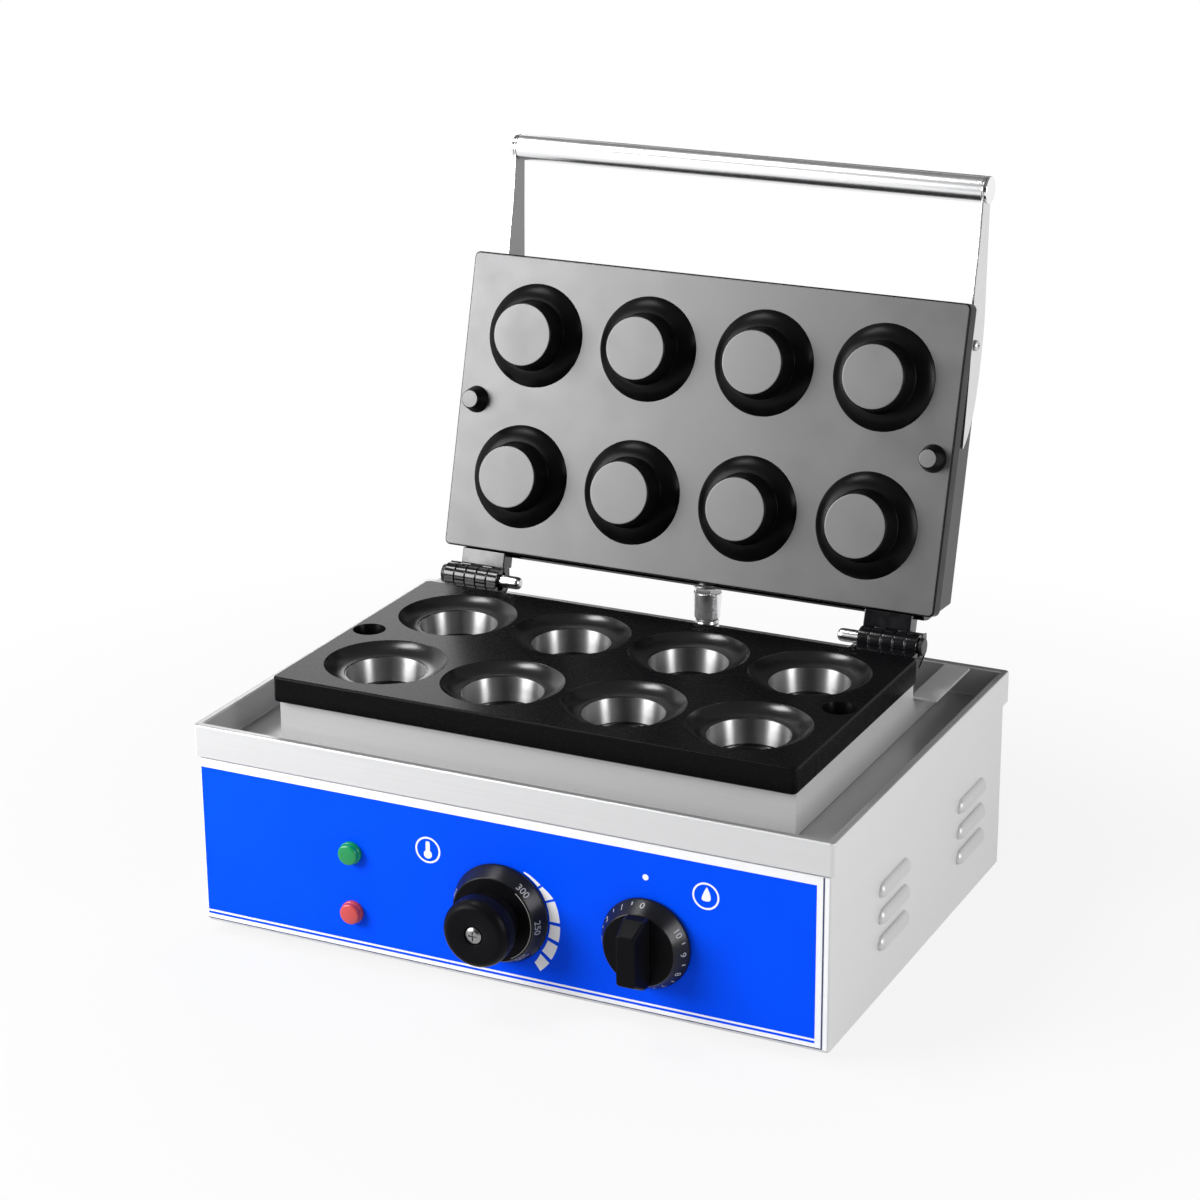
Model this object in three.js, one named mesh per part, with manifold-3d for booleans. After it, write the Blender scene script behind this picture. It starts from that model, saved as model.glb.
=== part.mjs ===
// Counter-top tartlet maker: a sheet-steel heater box with eight cups and a hinged lid with eight punches.
// Millimetres, +Z up, the operator's side is -Y. The origin lies on the counter, under the middle of the
// machine as it stands open. The lid is shown open and turns about the +X axis to close.

import * as THREE from 'three';
import { mergeVertices, toCreasedNormals } from 'three/addons/utils/BufferGeometryUtils.js';
import Module from 'manifold-3d';

const wasm = await Module();
wasm.setup();
const { Manifold, Mesh: ManifoldMesh } = wasm;

// General clearances and sheet
const fit = 0.3;
const cutOverrun = 3;
const sheet = 1.2;
const thinSheet = 0.8;
const creaseAngle = Math.PI / 7;

// Housing
const rimWidth = 450;
const rimTop = 148.4;
const rimSkirt = 22;
const rimHem = 5.4;
const shellStep = 2.7;
const shellCorner = 2;
const trayFloorTop = 128;
const trayCorner = 3;

// Feet and bottom pan
const footHeight = 8;
const footTopRadius = 13;
const footBottomRadius = 11;
const footInset = 38;
const footRecess = 3.4;
const footRecessRadius = 6;
const panSlotLength = 46;
const panSlotWidth = 5;
const panSlotPitch = 16;
const panSlotCount = 4;
const panSlotColumns = [-120, 0, 120];
const lipWidth = 14;

// Louvres in the side walls
const louvreLength = 50;
const louvreHeight = 12;
const louvreReach = 4;
const louvrePitch = 18.3;
const louvreCount = 3;
const louvreLowest = 44;
const louvreRows = [-50, 93];

// Well that carries the lower die
const wellSideGap = 42;
const wellFrontInset = 6;
const wellRearInset = 2.3;
const wellTop = 158.1;
const wellSheet = 1.5;
const wellLip = 5;
const shelfTop = 149;
const shelfReach = 16.6;
const shelfRearGap = 9.2;

// Dies
const dieOverhang = 2.1;
const dieDepth = 209.3;
const dieFrontMargin = 35.2;
const dieRearMargin = 71.9;
const dieTop = 175.9;
const lowerDieThickness = 17.5;
const upperDieThickness = 13.5;
const dieCorner = 2.5;
const dieBevel = 1.5;
const cupColumns = 4;
const cupEndGap = 9;
const rearRowInset = 54.9;
const frontRowInset = 54.7;
const rowSpare = 12;
const rowCount = 2;

// Cups
const cupLand = 2.5;
const cupFlareWidth = 14;
const cupFlareDepth = 6.5;
const cupTaper = 2.4;
const cupDepth = 26;
const cupFloorFillet = 2.4;
const cupWall = 4;
const cupSteps = 18;
const flareFrom = 35;
const flareTo = 85;
const flareSteps = 2;

// Punches
const punchRimGap = 4.5;
const punchShoulderGap = 2.4;
const punchFlareHeight = 6;
const punchFaceGap = 2.35;
const punchHeight = 22;
const punchBevel = 1;

// Locating pins and their holes
const pinSideInset = 13.6;
const pinOffset = 0.55;
const pinBaseRadius = 9.6;
const pinFaceRadius = 6.4;
const pinHeight = 11;
const pinShank = 5;
const pinShankRadius = 5;
const pinHoleClearance = 1.6;

// Hinge line
const hingeSetback = 20;
const partingGap = 1;
const openAngle = THREE.MathUtils.degToRad(105.58);
const hingeInset = 27.6;
const barrelRadius = 8;
const knuckleWidth = 8;
const knuckleGap = 0.5;
const lowerKnuckles = 3;
const hingePinRadius = 4.5;
const hingePinReach = 15.5;
const hingePinHead = 3;
const hingeBlockHeight = 15;
const hingeBlockWidth = 46;
const hingeStopLow = 3;
const hingeStopHigh = 11;
const hingeBoltRadius = 2.8;
const hingeBoltHead = 4;
const hingeBoltOffset = 10.8;
const hingeBoltDepth = 16;

// Lid cover behind the upper die
const coverSideInset = 10.9;
const coverTopInset = 5;
const coverTopDepth = 62.5;
const coverRearRise = 3.5;
const coverHeel = 4;
const coverHeelDepth = 22;
const coverHeelRise = 9.5;
const standoffRadius = 5;
const standoffInset = 32;
const standoffSideInset = 26.2;

// Lid arms and handle. The arm's edges are (distance beyond the handle, distance behind the lid)
const armSheet = 1.5;
const armGap = 0.3;
const armFrontEdge = [[-174, 46], [-136, 43], [-96, 37.5], [-74, 31], [-36, 30], [-7, 26.3]];
const armRearEdge = [[-7, 40.3], [-40, 48], [-72, 56], [-94, 61], [-136, 62.5], [-161, 57], [-174, 47.5]];
const armEndSweep = THREE.MathUtils.degToRad(130);
const armEndSteps = 9;
const armScrewInset = 22;
const armScrewDepth = 46;
const handleReach = 103.7;
const handleDepth = 33;
const handleRadius = 9.1;
const handleWall = 1.5;
const handleRodRadius = 4;
const handleCapLength = 1.6;
const handleCapShank = 8;
const handleCapEdge = 0.6;

// Heating elements
const heaterRadius = 4;
const heaterInset = 18;
const heaterBend = 14;
const heaterTail = 26;
const heaterTailSpread = 15;
const heaterSides = 7;
const bendSteps = 3;
const clampThickness = 3;
const clampWidth = 16;
const clampBoltDepth = 8;
const padThickness = 14;
const padSideInset = 10.2;
const padInset = 10;

// Front controls
const panelSheet = 0.8;
const panelLow = 10;
const panelHigh = 125;
const panelMargin = 1;
const controlHeight = 58.5;
const thermostatX = 0;
const timerX = 101.5;
const spindleRadius = 3;
const spindleDepth = 14;
const spindleSocket = 8;
const knobStandOff = 1.2;
const knobRecess = 2;
const knobRecessRadius = 21;
const dialRadius = 33.5;
const dialFace = 28.4;
const dialThickness = 12;
const dialEdge = 1.6;
const gripRadius = 23;
const gripNeck = 18.5;
const gripLength = 26.5;
const gripShares = [0.2, 0.42, 0.82];
const gripBevel = 4;
const timerRadius = 30.2;
const timerFace = 24;
const timerSkirt = 12.5;
const timerGripLength = 47;
const timerGripFace = 33;
const timerGripWidth = 15.5;
const timerGripHeight = 18.5;
const timerGripShoulder = 6;
const lampInset = 116;
const lampHeights = [['green', 78.8], ['red', 37]];
const lampRadius = 7.7;
const lampReach = 7;
const lampShares = [0.45, 0.85];
const lampDomeShare = 0.72;
const lampBodyRadius = 6;
const lampBodyLength = 24;
const lampNutRadius = 9;
const lampNut = 4;

// Controls behind the panel
const thermostatSize = 46;
const thermostatLength = 34;
const timerSize = 50;
const timerLength = 38;
const controlCorner = 3;
const bushRadius = 5;
const controlScrewRadius = 1.5;
const controlScrewSpread = 14;
const controlScrewDepth = 8;
const bulbRadius = 3;
const bulbLength = 56;
const capillaryRadius = 1;
const capillaryBend = 10;
const capillaryRise = 8;
const capillaryBack = 35;

// Rear outlet, terminals and the lid's conduit
const glandInset = 75;
const glandHeight = 42;
const glandBore = 4.5;
const glandShank = 7;
const glandRadius = 11;
const glandReach = 16;
const glandCollar = 5;
const glandNut = 4;
const terminalOffset = 70;
const terminalRearGap = 38.2;
const terminalLength = 62;
const terminalWidth = 24;
const terminalHeight = 14;
const terminalBarrier = 2;
const terminalBarrierRise = 6;
const terminalPoles = 4;
const terminalScrewDepth = 6;
const conduitX = 9;
const conduitRadius = 8.6;
const conduitRoot = 7.7;
const conduitBore = 6;
const conduitPitch = 3.4;
const conduitSides = 8;
const conduitBoreStep = 10;
const conduitLow = 84;
const conduitGlandRadius = 12.5;
const conduitGlandHeight = 11;
const conduitGlandShoulder = 7;
const conduitFlange = 2;
const conduitNut = 3;
const lidGlandRadius = 10.5;
const lidGlandReach = 8;
const lidGlandShank = 5;
const lidGlandDepth = 29.3;

// Fasteners
const screwRadius = 2;
const screwHeadRadius = 3.8;
const screwHeadHeight = 2.2;
const clampHeadRadius = 4.2;
const rivetNutRadius = 4;
const rivetNut = 5;
const standoffBore = 14;
const standoffStud = 7;
const standoffStudRadius = 3;

// Places that follow from the sizes
const rimHalfX = rimWidth / 2;
const rimHalfY = (dieFrontMargin + dieDepth + dieRearMargin) / 2;
const shellHalfX = rimHalfX - shellStep;
const shellHalfY = rimHalfY - shellStep;
const dieRear = rimHalfY - dieRearMargin;
const dieFront = dieRear - dieDepth;
const dieMiddleY = dieRear - dieDepth / 2;
const wellHalfWidth = rimHalfX - wellSideGap;
const wellFront = dieFront + wellFrontInset;
const wellRear = dieRear - wellRearInset;
const shelfRear = rimHalfY - shelfRearGap;
const dieHalfX = wellHalfWidth + dieOverhang;
const cupPitch = 2 * (wellHalfWidth - cupEndGap) / cupColumns;
const rowPitch = dieDepth - rearRowInset - frontRowInset;
const cupRimRadius = Math.min(cupPitch, rowPitch - rowSpare) / 2 - cupLand;
const cupShoulderRadius = cupRimRadius - cupFlareWidth;
const cupFloorRadius = cupShoulderRadius - cupTaper;
const punchRimRadius = cupRimRadius - punchRimGap;
const punchShoulderRadius = cupShoulderRadius - punchShoulderGap;
const punchFaceRadius = cupFloorRadius - punchFaceGap;
const pinSpread = dieHalfX - pinSideInset;
const pinInset = dieDepth / 2 + pinOffset;
const hingeCentre = dieHalfX - hingeInset;
const coverHalfWidth = dieHalfX - coverSideInset;
const coverRearDepth = coverTopDepth + coverRearRise;
const standoffSpread = coverHalfWidth - standoffSideInset;
const padHalfWidth = coverHalfWidth - padSideInset;
const clampSpread = cupPitch;
const lampX = lampInset - rimHalfX;
const glandX = glandInset - rimHalfX;
const terminalX = glandX + terminalOffset;
const terminalY = rimHalfY - terminalRearGap;
const dieBase = dieTop - lowerDieThickness;
const hingeY = dieRear + hingeSetback;
const hingeZ = dieTop;
const panTop = footHeight + sheet;
const cupBase = dieTop - cupDepth - cupWall;
const hingeBack = -barrelRadius - knuckleGap;
const hingeFront = -hingeSetback + fit;
const barrelHalf = (2 * lowerKnuckles - 1) * (knuckleWidth + knuckleGap) / 2;
const panelFace = shellHalfY + fit + panelSheet;
const wallInside = -(panelSheet + fit + sheet);
const heaterFront = dieFront + heaterInset;
const heaterRear = dieRear - heaterInset;

// The lid's pieces are drawn closed, from the hinge line: along() runs to the free edge, behind() upwards
const along = (s) => -hingeSetback - s;
const behind = (d) => partingGap + d;

// Where a point (y, z) of the closed lid, from the hinge line, lies on the open machine
const turnOpen = ([y, z]) => [
  y * Math.cos(openAngle) + z * Math.sin(openAngle),
  z * Math.cos(openAngle) - y * Math.sin(openAngle),
];

// The lid's sloping lower face and the conduit that runs into it
const heelFrom = [along(-coverHeel), behind(coverHeelDepth)];
const heelTo = [along(coverHeelRise - coverHeel), behind(coverRearDepth)];
const heelTilt = Math.atan2(heelFrom[0] - heelTo[0], heelTo[1] - heelFrom[1]);
const heelNormal = [Math.cos(heelTilt), Math.sin(heelTilt)];
const glandSeat = [
  heelFrom[0] - (behind(lidGlandDepth) - heelFrom[1]) * Math.tan(heelTilt),
  behind(lidGlandDepth),
];
const conduitSeat = glandSeat.map((value, i) => value + heelNormal[i] * (lidGlandReach + fit));
const [conduitEndY, conduitEndZ] = turnOpen(conduitSeat);
const [conduitAxisY, conduitAxisZ] = turnOpen(heelNormal);
const conduitY = hingeY + conduitEndY + conduitAxisY * conduitRadius * 2;

// How far behind the upper die the cover's rear sheet stands, at a distance along the lid
const coverRearFrom = coverHeelRise - coverHeel;
const coverRearTo = dieDepth - coverTopInset;
const coverDepthAt = (s) => coverRearDepth
  + (coverTopDepth - coverRearDepth) * (s - coverRearFrom) / (coverRearTo - coverRearFrom);
const armScrewAlong = coverRearTo - armScrewInset;
const handleAlong = armScrewAlong + handleReach;

// Shapes

const point = (x, y, z) => new THREE.Vector3(x, y, z);

const span = (a, b) => [Math.min(a, b), Math.max(a, b)];

const lathe = (points, steps) => new THREE.LatheGeometry(
  points.map(([r, z]) => new THREE.Vector2(r, z)), steps).rotateX(Math.PI / 2);

const block = (x0, x1, y0, y1, z0, z1) => new THREE.BoxGeometry(x1 - x0, y1 - y0, z1 - z0)
  .translate((x0 + x1) / 2, (y0 + y1) / 2, (z0 + z1) / 2);

const rod = (radius, z0, z1, sides = 16) => new THREE.CylinderGeometry(radius, radius, z1 - z0, sides)
  .rotateX(Math.PI / 2)
  .translate(0, 0, (z0 + z1) / 2);

const rodAlongX = (radius, x0, x1, y, z, sides = 16) => rod(radius, x0, x1, sides)
  .rotateY(Math.PI / 2)
  .translate(0, y, z);

const rodAlongY = (radius, y0, y1, x, z, sides = 16) => rod(radius, -y1, -y0, sides)
  .rotateX(Math.PI / 2)
  .translate(x, 0, z);

function roundedOutline(x0, x1, y0, y1, radius) {
  const shape = new THREE.Shape();
  shape.moveTo(x0 + radius, y0);
  shape.lineTo(x1 - radius, y0);
  shape.absarc(x1 - radius, y0 + radius, radius, -Math.PI / 2, 0);
  shape.absarc(x1 - radius, y1 - radius, radius, 0, Math.PI / 2);
  shape.absarc(x0 + radius, y1 - radius, radius, Math.PI / 2, Math.PI);
  shape.absarc(x0 + radius, y0 + radius, radius, Math.PI, Math.PI * 1.5);
  return shape;
}

const raised = (shape, z0, z1, curveSegments = 3) => new THREE.ExtrudeGeometry(shape,
  { depth: z1 - z0, bevelEnabled: false, curveSegments }).translate(0, 0, z0);

const roundedBlock = (x0, x1, y0, y1, z0, z1, radius, steps) => raised(
  roundedOutline(x0, x1, y0, y1, radius), z0, z1, steps);

// An outline drawn as (y, z) and drawn out along X
const alongX = (points, x0, x1) => new THREE.ExtrudeGeometry(
  new THREE.Shape(points.map(([y, z]) => new THREE.Vector2(y, z))), { depth: x1 - x0, bevelEnabled: false })
  .applyMatrix4(new THREE.Matrix4().makeBasis(
    new THREE.Vector3(0, 1, 0), new THREE.Vector3(0, 0, 1), new THREE.Vector3(1, 0, 0)))
  .translate(x0, 0, 0);

// Solids

function solid(geometry) {
  const bare = geometry.clone();
  bare.deleteAttribute('normal');
  bare.deleteAttribute('uv');
  const merged = mergeVertices(bare);
  return new Manifold(new ManifoldMesh({
    numProp: 3,
    vertProperties: Float32Array.from(merged.attributes.position.array),
    triVerts: Uint32Array.from(merged.index.array),
  }));
}

const join = (...shapes) => shapes.map(asSolid).reduce((sum, next) => sum.add(next));
const cut = (body, ...tools) => tools.map(asSolid)
  .reduce((rest, tool) => rest.subtract(tool), asSolid(body));
const asSolid = (shape) => (shape.isBufferGeometry ? solid(shape) : shape);

function geometryOf(shape) {
  const mesh = asSolid(shape).getMesh();
  const geometry = new THREE.BufferGeometry();
  geometry.setAttribute('position', new THREE.BufferAttribute(Float32Array.from(mesh.vertProperties), 3));
  geometry.setIndex(new THREE.BufferAttribute(Uint32Array.from(mesh.triVerts), 1));
  return toCreasedNormals(geometry, creaseAngle);
}

const finish = (color, roughness, metalness) => new THREE.MeshStandardMaterial(
  { color, roughness, metalness });

const steel = () => finish(0xc9cbce, 0.35, 0.9);
const brightSteel = () => finish(0xdedfe1, 0.18, 1);
const chrome = () => finish(0xe8e9ea, 0.08, 1);
const castBlack = () => finish(0x1c1c1e, 0.32, 0.2);
const castGrey = () => finish(0x5b5c5f, 0.42, 0.3);
const blackPlastic = () => finish(0x101012, 0.38, 0);
const rubber = () => finish(0x18181a, 0.85, 0);
const ceramic = () => finish(0xe9e5da, 0.6, 0);
const wool = () => finish(0xd8cfb4, 0.95, 0);
const panelBlue = () => finish(0x0a4cff, 0.3, 0.05);
const greenLens = () => finish(0x0b9a4a, 0.25, 0);
const redLens = () => finish(0xe0453f, 0.25, 0);
const brass = () => finish(0xb08d3f, 0.3, 1);
const conduitGrey = () => finish(0x2a2a2c, 0.6, 0);

const model = new THREE.Group();
const lid = new THREE.Group();
lid.position.set(0, hingeY, hingeZ);
lid.rotation.x = -openAngle;
model.add(lid);

function part(name, shape, material, parent = model) {
  const mesh = new THREE.Mesh(geometryOf(shape), material);
  mesh.name = name;
  parent.add(mesh);
  return mesh;
}

const sides = [['left', -1], ['right', 1]];
const cupXs = Array.from({ length: cupColumns }, (_, i) => (i - (cupColumns - 1) / 2) * cupPitch);
const rowInsets = Array.from({ length: rowCount }, (_, i) => rearRowInset + i * rowPitch);

// Feet and bottom pan

const footPlaces = [
  ['front_left', -1, -1],
  ['front_right', 1, -1],
  ['rear_left', -1, 1],
  ['rear_right', 1, 1],
].map(([name, x, y]) => [name, x * (shellHalfX - footInset), y * (shellHalfY - footInset)]);

function foot() {
  const hole = screwRadius + fit;
  return lathe([
    [hole, footRecess],
    [footRecessRadius, footRecess],
    [footRecessRadius, 0],
    [footBottomRadius, 0],
    [footTopRadius, footHeight],
    [hole, footHeight],
    [hole, footRecess],
  ], 14);
}

function bottomPan() {
  const gap = sheet + fit;
  const halfX = shellHalfX - gap;
  const halfY = shellHalfY - gap;
  const screwHole = (x, y) => rod(screwRadius + fit, 0, panTop + cutOverrun, 6).translate(x, y, 0);
  const tray = cut(
    roundedBlock(-halfX, halfX, -halfY, halfY, footHeight, panTop, shellCorner),
    ...footPlaces.map(([, x, y]) => screwHole(x, y)),
    ...panScrewPlaces().map(([x, y]) => screwHole(x, y)),
  );
  const slots = panSlotColumns.flatMap((x) => Array.from({ length: panSlotCount }, (_, i) => {
    const y = (i - (panSlotCount - 1) / 2) * panSlotPitch;
    return block(x - panSlotLength / 2, x + panSlotLength / 2, y - panSlotWidth / 2, y + panSlotWidth / 2,
      0, panTop + cutOverrun);
  }));
  return cut(tray, ...slots);
}

function panScrewPlaces() {
  const x = shellHalfX - lipWidth / 2 - sheet;
  const y = shellHalfY - lipWidth / 2 - sheet;
  return [[-x, -y], [x, -y], [-x, y], [x, y], [-x, 0], [x, 0]];
}

// Holes through the front wall and the control panel
const controlScrewPlaces = [-controlScrewSpread, controlScrewSpread];

const frontHoles = () => [
  ...[thermostatX, timerX].flatMap((x) => [
    [x, controlHeight, bushRadius],
    ...controlScrewPlaces.map((step) => [x + step, controlHeight, controlScrewRadius]),
  ]),
  ...lampHeights.map(([, z]) => [lampX, z, lampBodyRadius]),
].map(([x, z, r]) => rodAlongY(r + fit, -panelFace - cutOverrun, -shellHalfY + sheet + cutOverrun,
  x, z, 10));

// Housing shell: four folded walls, an inturned lip below, louvres on both sides and holes in the front

function louvreCapsule(shrink) {
  const radius = louvreHeight / 2 - shrink;
  const length = louvreLength - louvreHeight;
  return new THREE.CapsuleGeometry(radius, length, 1, 8).scale((louvreReach - shrink) / radius, 1, 1);
}

const louvrePlaces = sides.flatMap(([, side]) => louvreRows.flatMap((y) => Array.from(
  { length: louvreCount }, (_, i) => [side * shellHalfX, y, louvreLowest + i * louvrePitch])));

function louvreHood([x, y, z]) {
  const side = Math.sign(x);
  const opening = z - louvreHeight / 4;
  const hood = cut(
    louvreCapsule(0).translate(x, y, z),
    louvreCapsule(sheet).translate(x, y, z),
    block(x - louvreHeight, x + louvreHeight, y - louvreLength, y + louvreLength,
      z - louvreHeight, opening),
  );
  const inner = x - side * sheet;
  const inside = block(...span(inner, inner - side * louvreHeight), y - louvreLength, y + louvreLength,
    z - louvreHeight, z + louvreHeight);
  return cut(hood, inside);
}

function bodyShell() {
  const top = rimTop - sheet - fit;
  const low = footHeight;
  const lip = panTop + fit;
  const halfX = shellHalfX - sheet;
  const halfY = shellHalfY - sheet;
  const lipTop = lip + sheet;
  const walls = cut(
    roundedBlock(-shellHalfX, shellHalfX, -shellHalfY, shellHalfY, low, top, shellCorner),
    block(-halfX, halfX, -halfY, halfY, low - cutOverrun, top + cutOverrun),
  );
  const bottomLip = cut(
    block(-halfX, halfX, -halfY, halfY, lip, lipTop),
    block(-halfX + lipWidth, halfX - lipWidth, -halfY + lipWidth, halfY - lipWidth,
      low, lipTop + cutOverrun),
    ...panScrewPlaces().map(([x, y]) => rod(screwRadius + fit, low, lipTop + cutOverrun, 6)
      .translate(x, y, 0)),
  );
  const ports = louvrePlaces.map(([x, y, z]) => louvreCapsule(sheet).translate(x, y, z));
  const rearHole = rodAlongY(glandShank + fit, shellHalfY - sheet - cutOverrun, rimHalfY, glandX,
    glandHeight);
  const box = cut(join(walls, bottomLip), ...ports, ...frontHoles(), rearHole);
  return join(box, ...louvrePlaces.map(louvreHood));
}

// Top tray: folded rim with a hem and skirt, inner walls and a floor with an opening under the well

function topTray() {
  const outer = (z0, z1, inset) => roundedBlock(-rimHalfX + inset, rimHalfX - inset, -rimHalfY + inset,
    rimHalfY - inset, z0, z1, trayCorner);
  const ring = (z0, z1, from, to) => cut(outer(z0, z1, from), block(-rimHalfX + to, rimHalfX - to,
    -rimHalfY + to, rimHalfY - to, z0 - cutOverrun, z1 + cutOverrun));
  const wallInset = rimHem - sheet;
  const openX = wellHalfWidth - wellSheet - wellLip;
  return cut(
    join(
      ring(rimTop - rimSkirt, rimTop, 0, sheet),
      ring(rimTop - sheet, rimTop, 0, rimHem),
      ring(trayFloorTop - sheet, rimTop, wallInset, rimHem),
      block(-rimHalfX + wallInset, rimHalfX - wallInset, -rimHalfY + wallInset, rimHalfY - wallInset,
        trayFloorTop - sheet, trayFloorTop),
    ),
    block(-openX, openX, wellFront + wellSheet + wellLip, wellRear - wellSheet - wellLip,
      trayFloorTop - sheet - cutOverrun, trayFloorTop + cutOverrun),
    rod(conduitHole, trayFloorTop - sheet - cutOverrun, trayFloorTop + cutOverrun, 18)
      .translate(conduitX, conduitY, 0),
  );
}

// Well: four upright walls on a foot flange, a lip for the die and two rear shelves

function dieWell() {
  const low = trayFloorTop + fit;
  const halfX = wellHalfWidth;
  const inner = halfX - wellSheet;
  const within = (inset, z0, z1) => block(-halfX + inset, halfX - inset, wellFront + inset, wellRear - inset,
    z0, z1);
  const box = cut(within(0, low, wellTop), within(wellSheet, low - cutOverrun, wellTop + cutOverrun));
  const lip = cut(
    within(wellSheet, wellTop - wellSheet, wellTop),
    within(wellSheet + wellLip, low, wellTop + cutOverrun),
  );
  const foot = cut(
    within(wellSheet, low, low + wellSheet),
    within(wellSheet + wellLip, low - cutOverrun, low + wellSheet + cutOverrun),
  );
  const shelves = sides.map(([, side]) => {
    const wall = [side * inner, side * halfX].sort((a, b) => a - b);
    const ledge = [side * inner, side * (halfX + shelfReach)].sort((a, b) => a - b);
    return join(
      block(...wall, wellRear - wellSheet, shelfRear, low, shelfTop),
      block(...ledge, wellRear, shelfRear, shelfTop - wellSheet, shelfTop),
    );
  });
  return join(box, lip, foot, ...shelves);
}

// Dies

// A dished ring from its rim to its shoulder: part of an ellipse, steep at the rim and nearly flat inside
function flare(outer, inner, depth) {
  const from = THREE.MathUtils.degToRad(flareFrom);
  const to = THREE.MathUtils.degToRad(flareTo);
  return Array.from({ length: flareSteps + 1 }, (_, i) => {
    const angle = from + (to - from) * i / flareSteps;
    return [
      inner + (outer - inner) * (Math.cos(angle) - Math.cos(to)) / (Math.cos(from) - Math.cos(to)),
      depth * (Math.sin(angle) - Math.sin(from)) / (Math.sin(to) - Math.sin(from)),
    ];
  });
}

function cupTool() {
  const profile = flare(cupRimRadius, cupShoulderRadius, cupFlareDepth).map(([r, d]) => [r, -d]);
  return lathe([
    [0, -cupDepth],
    [cupFloorRadius - cupFloorFillet, -cupDepth],
    [cupFloorRadius, -cupDepth + cupFloorFillet],
    ...profile.reverse(),
    [cupRimRadius, cutOverrun],
    [0, cutOverrun],
  ], cupSteps);
}

function diePlate(z0, z1) {
  const halfX = dieHalfX - dieBevel;
  const shape = roundedOutline(-halfX, halfX, dieFront + dieBevel, dieRear - dieBevel, dieCorner);
  return new THREE.ExtrudeGeometry(shape, {
    depth: z1 - z0 - 2 * dieBevel,
    bevelSize: dieBevel,
    bevelThickness: dieBevel,
    bevelSegments: 1,
    curveSegments: 3,
  }).translate(0, 0, z0 + dieBevel);
}

const cupPlaces = rowInsets.flatMap((inset) => cupXs.map((x) => [x, dieRear - inset]));

function lowerDie() {
  const bossRadius = cupShoulderRadius + cupWall;
  const bosses = cupPlaces.map(([x, y]) => rod(bossRadius, cupBase, dieTop - dieBevel, 14)
    .translate(x, y, 0));
  const cups = cupPlaces.map(([x, y]) => cupTool().translate(x, y, dieTop));
  const pinHole = lathe([
    [0, -pinHeight - pinHoleClearance],
    [pinFaceRadius + pinHoleClearance, -pinHeight - pinHoleClearance],
    [pinBaseRadius + pinHoleClearance, 0],
    [pinBaseRadius + pinHoleClearance, cutOverrun],
    [0, cutOverrun],
  ], 16);
  const holes = sides.map(([, side]) => pinHole.clone()
    .translate(side * pinSpread, dieRear - pinInset, dieTop));
  return cut(join(diePlate(dieBase, dieTop), ...bosses), ...cups, ...holes, ...hingeBoltHoles(-1),
    ...clampBoltHoles(-1));
}

function punch() {
  const profile = flare(punchRimRadius, punchShoulderRadius, punchFlareHeight).map(([r, h]) => [r, -h]);
  return lathe([
    [0, -punchHeight],
    [punchFaceRadius - punchBevel, -punchHeight],
    [punchFaceRadius, -punchHeight + punchBevel],
    ...profile.reverse(),
    [punchRimRadius, dieBevel],
    [0, dieBevel],
  ], cupSteps);
}

function upperDie() {
  const plate = diePlate(behind(0), behind(upperDieThickness)).translate(0, -hingeY, 0);
  const punches = rowInsets.flatMap((inset) => cupXs.map((x) => punch()
    .translate(x, along(inset), behind(0))));
  const sockets = sides.map(([, side]) => rod(pinShankRadius + fit, behind(0) - cutOverrun,
    behind(pinShank + fit), 12).translate(side * pinSpread, along(pinInset), 0));
  const studLow = behind(upperDieThickness - standoffStud - fit);
  const studs = standoffPlaces.map(([x, y]) => rod(standoffStudRadius + fit, studLow,
    behind(upperDieThickness + cutOverrun), 12).translate(x, y, 0));
  return cut(join(plate, ...punches), ...sockets, ...studs, ...hingeBoltHoles(1), ...clampBoltHoles(1));
}

function locatingPin(side) {
  return lathe([
    [0, -pinHeight],
    [pinFaceRadius, -pinHeight],
    [pinBaseRadius, -fit],
    [pinShankRadius, -fit],
    [pinShankRadius, pinShank],
    [0, pinShank],
  ], 16).translate(side * pinSpread, along(pinInset), behind(0));
}

// Hinges: a lower casting with three knuckles, an upper one with two, a pin and bolts into the dies' edges

const knucklePitch = knuckleWidth + knuckleGap;
const knuckleStart = (index) => index * knucklePitch + knuckleGap / 2 - barrelHalf;
const boltSteps = [-knucklePitch, knucklePitch];

function hingeBoltHoles(level) {
  const y = level > 0 ? 0 : hingeY;
  const z = level * hingeBoltOffset + (level > 0 ? 0 : hingeZ);
  return sides.flatMap(([, side]) => boltSteps.map((x) => rodAlongY(screwRadius + fit,
    y + along(hingeBoltDepth), y + along(-cutOverrun), side * hingeCentre + x, z, 6)));
}

// Knuckles with their webs, bored for the pin, on a block with counterbored bolt holes
function hingeCasting(level, first, web, solids) {
  const y1 = barrelRadius * 2;
  const z = level * hingeBoltOffset;
  const knuckles = [];
  for (let i = first; i < 2 * lowerKnuckles - 1; i += 2) {
    const x0 = knuckleStart(i);
    const x1 = x0 + knuckleWidth;
    knuckles.push(rodAlongX(barrelRadius, x0, x1, 0, 0, 14), alongX(web, x0, x1));
  }
  return cut(
    join(...solids, ...knuckles),
    rodAlongX(hingePinRadius + fit, -hingeBlockWidth, hingeBlockWidth, 0, 0, 10),
    ...boltSteps.map((x) => rodAlongY(screwRadius + fit, hingeFront - cutOverrun, y1, x, z, 6)),
    ...boltSteps.map((x) => rodAlongY(hingeBoltRadius + fit, hingeBack - hingeBoltHead, y1, x, z, 10)),
  );
}

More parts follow.
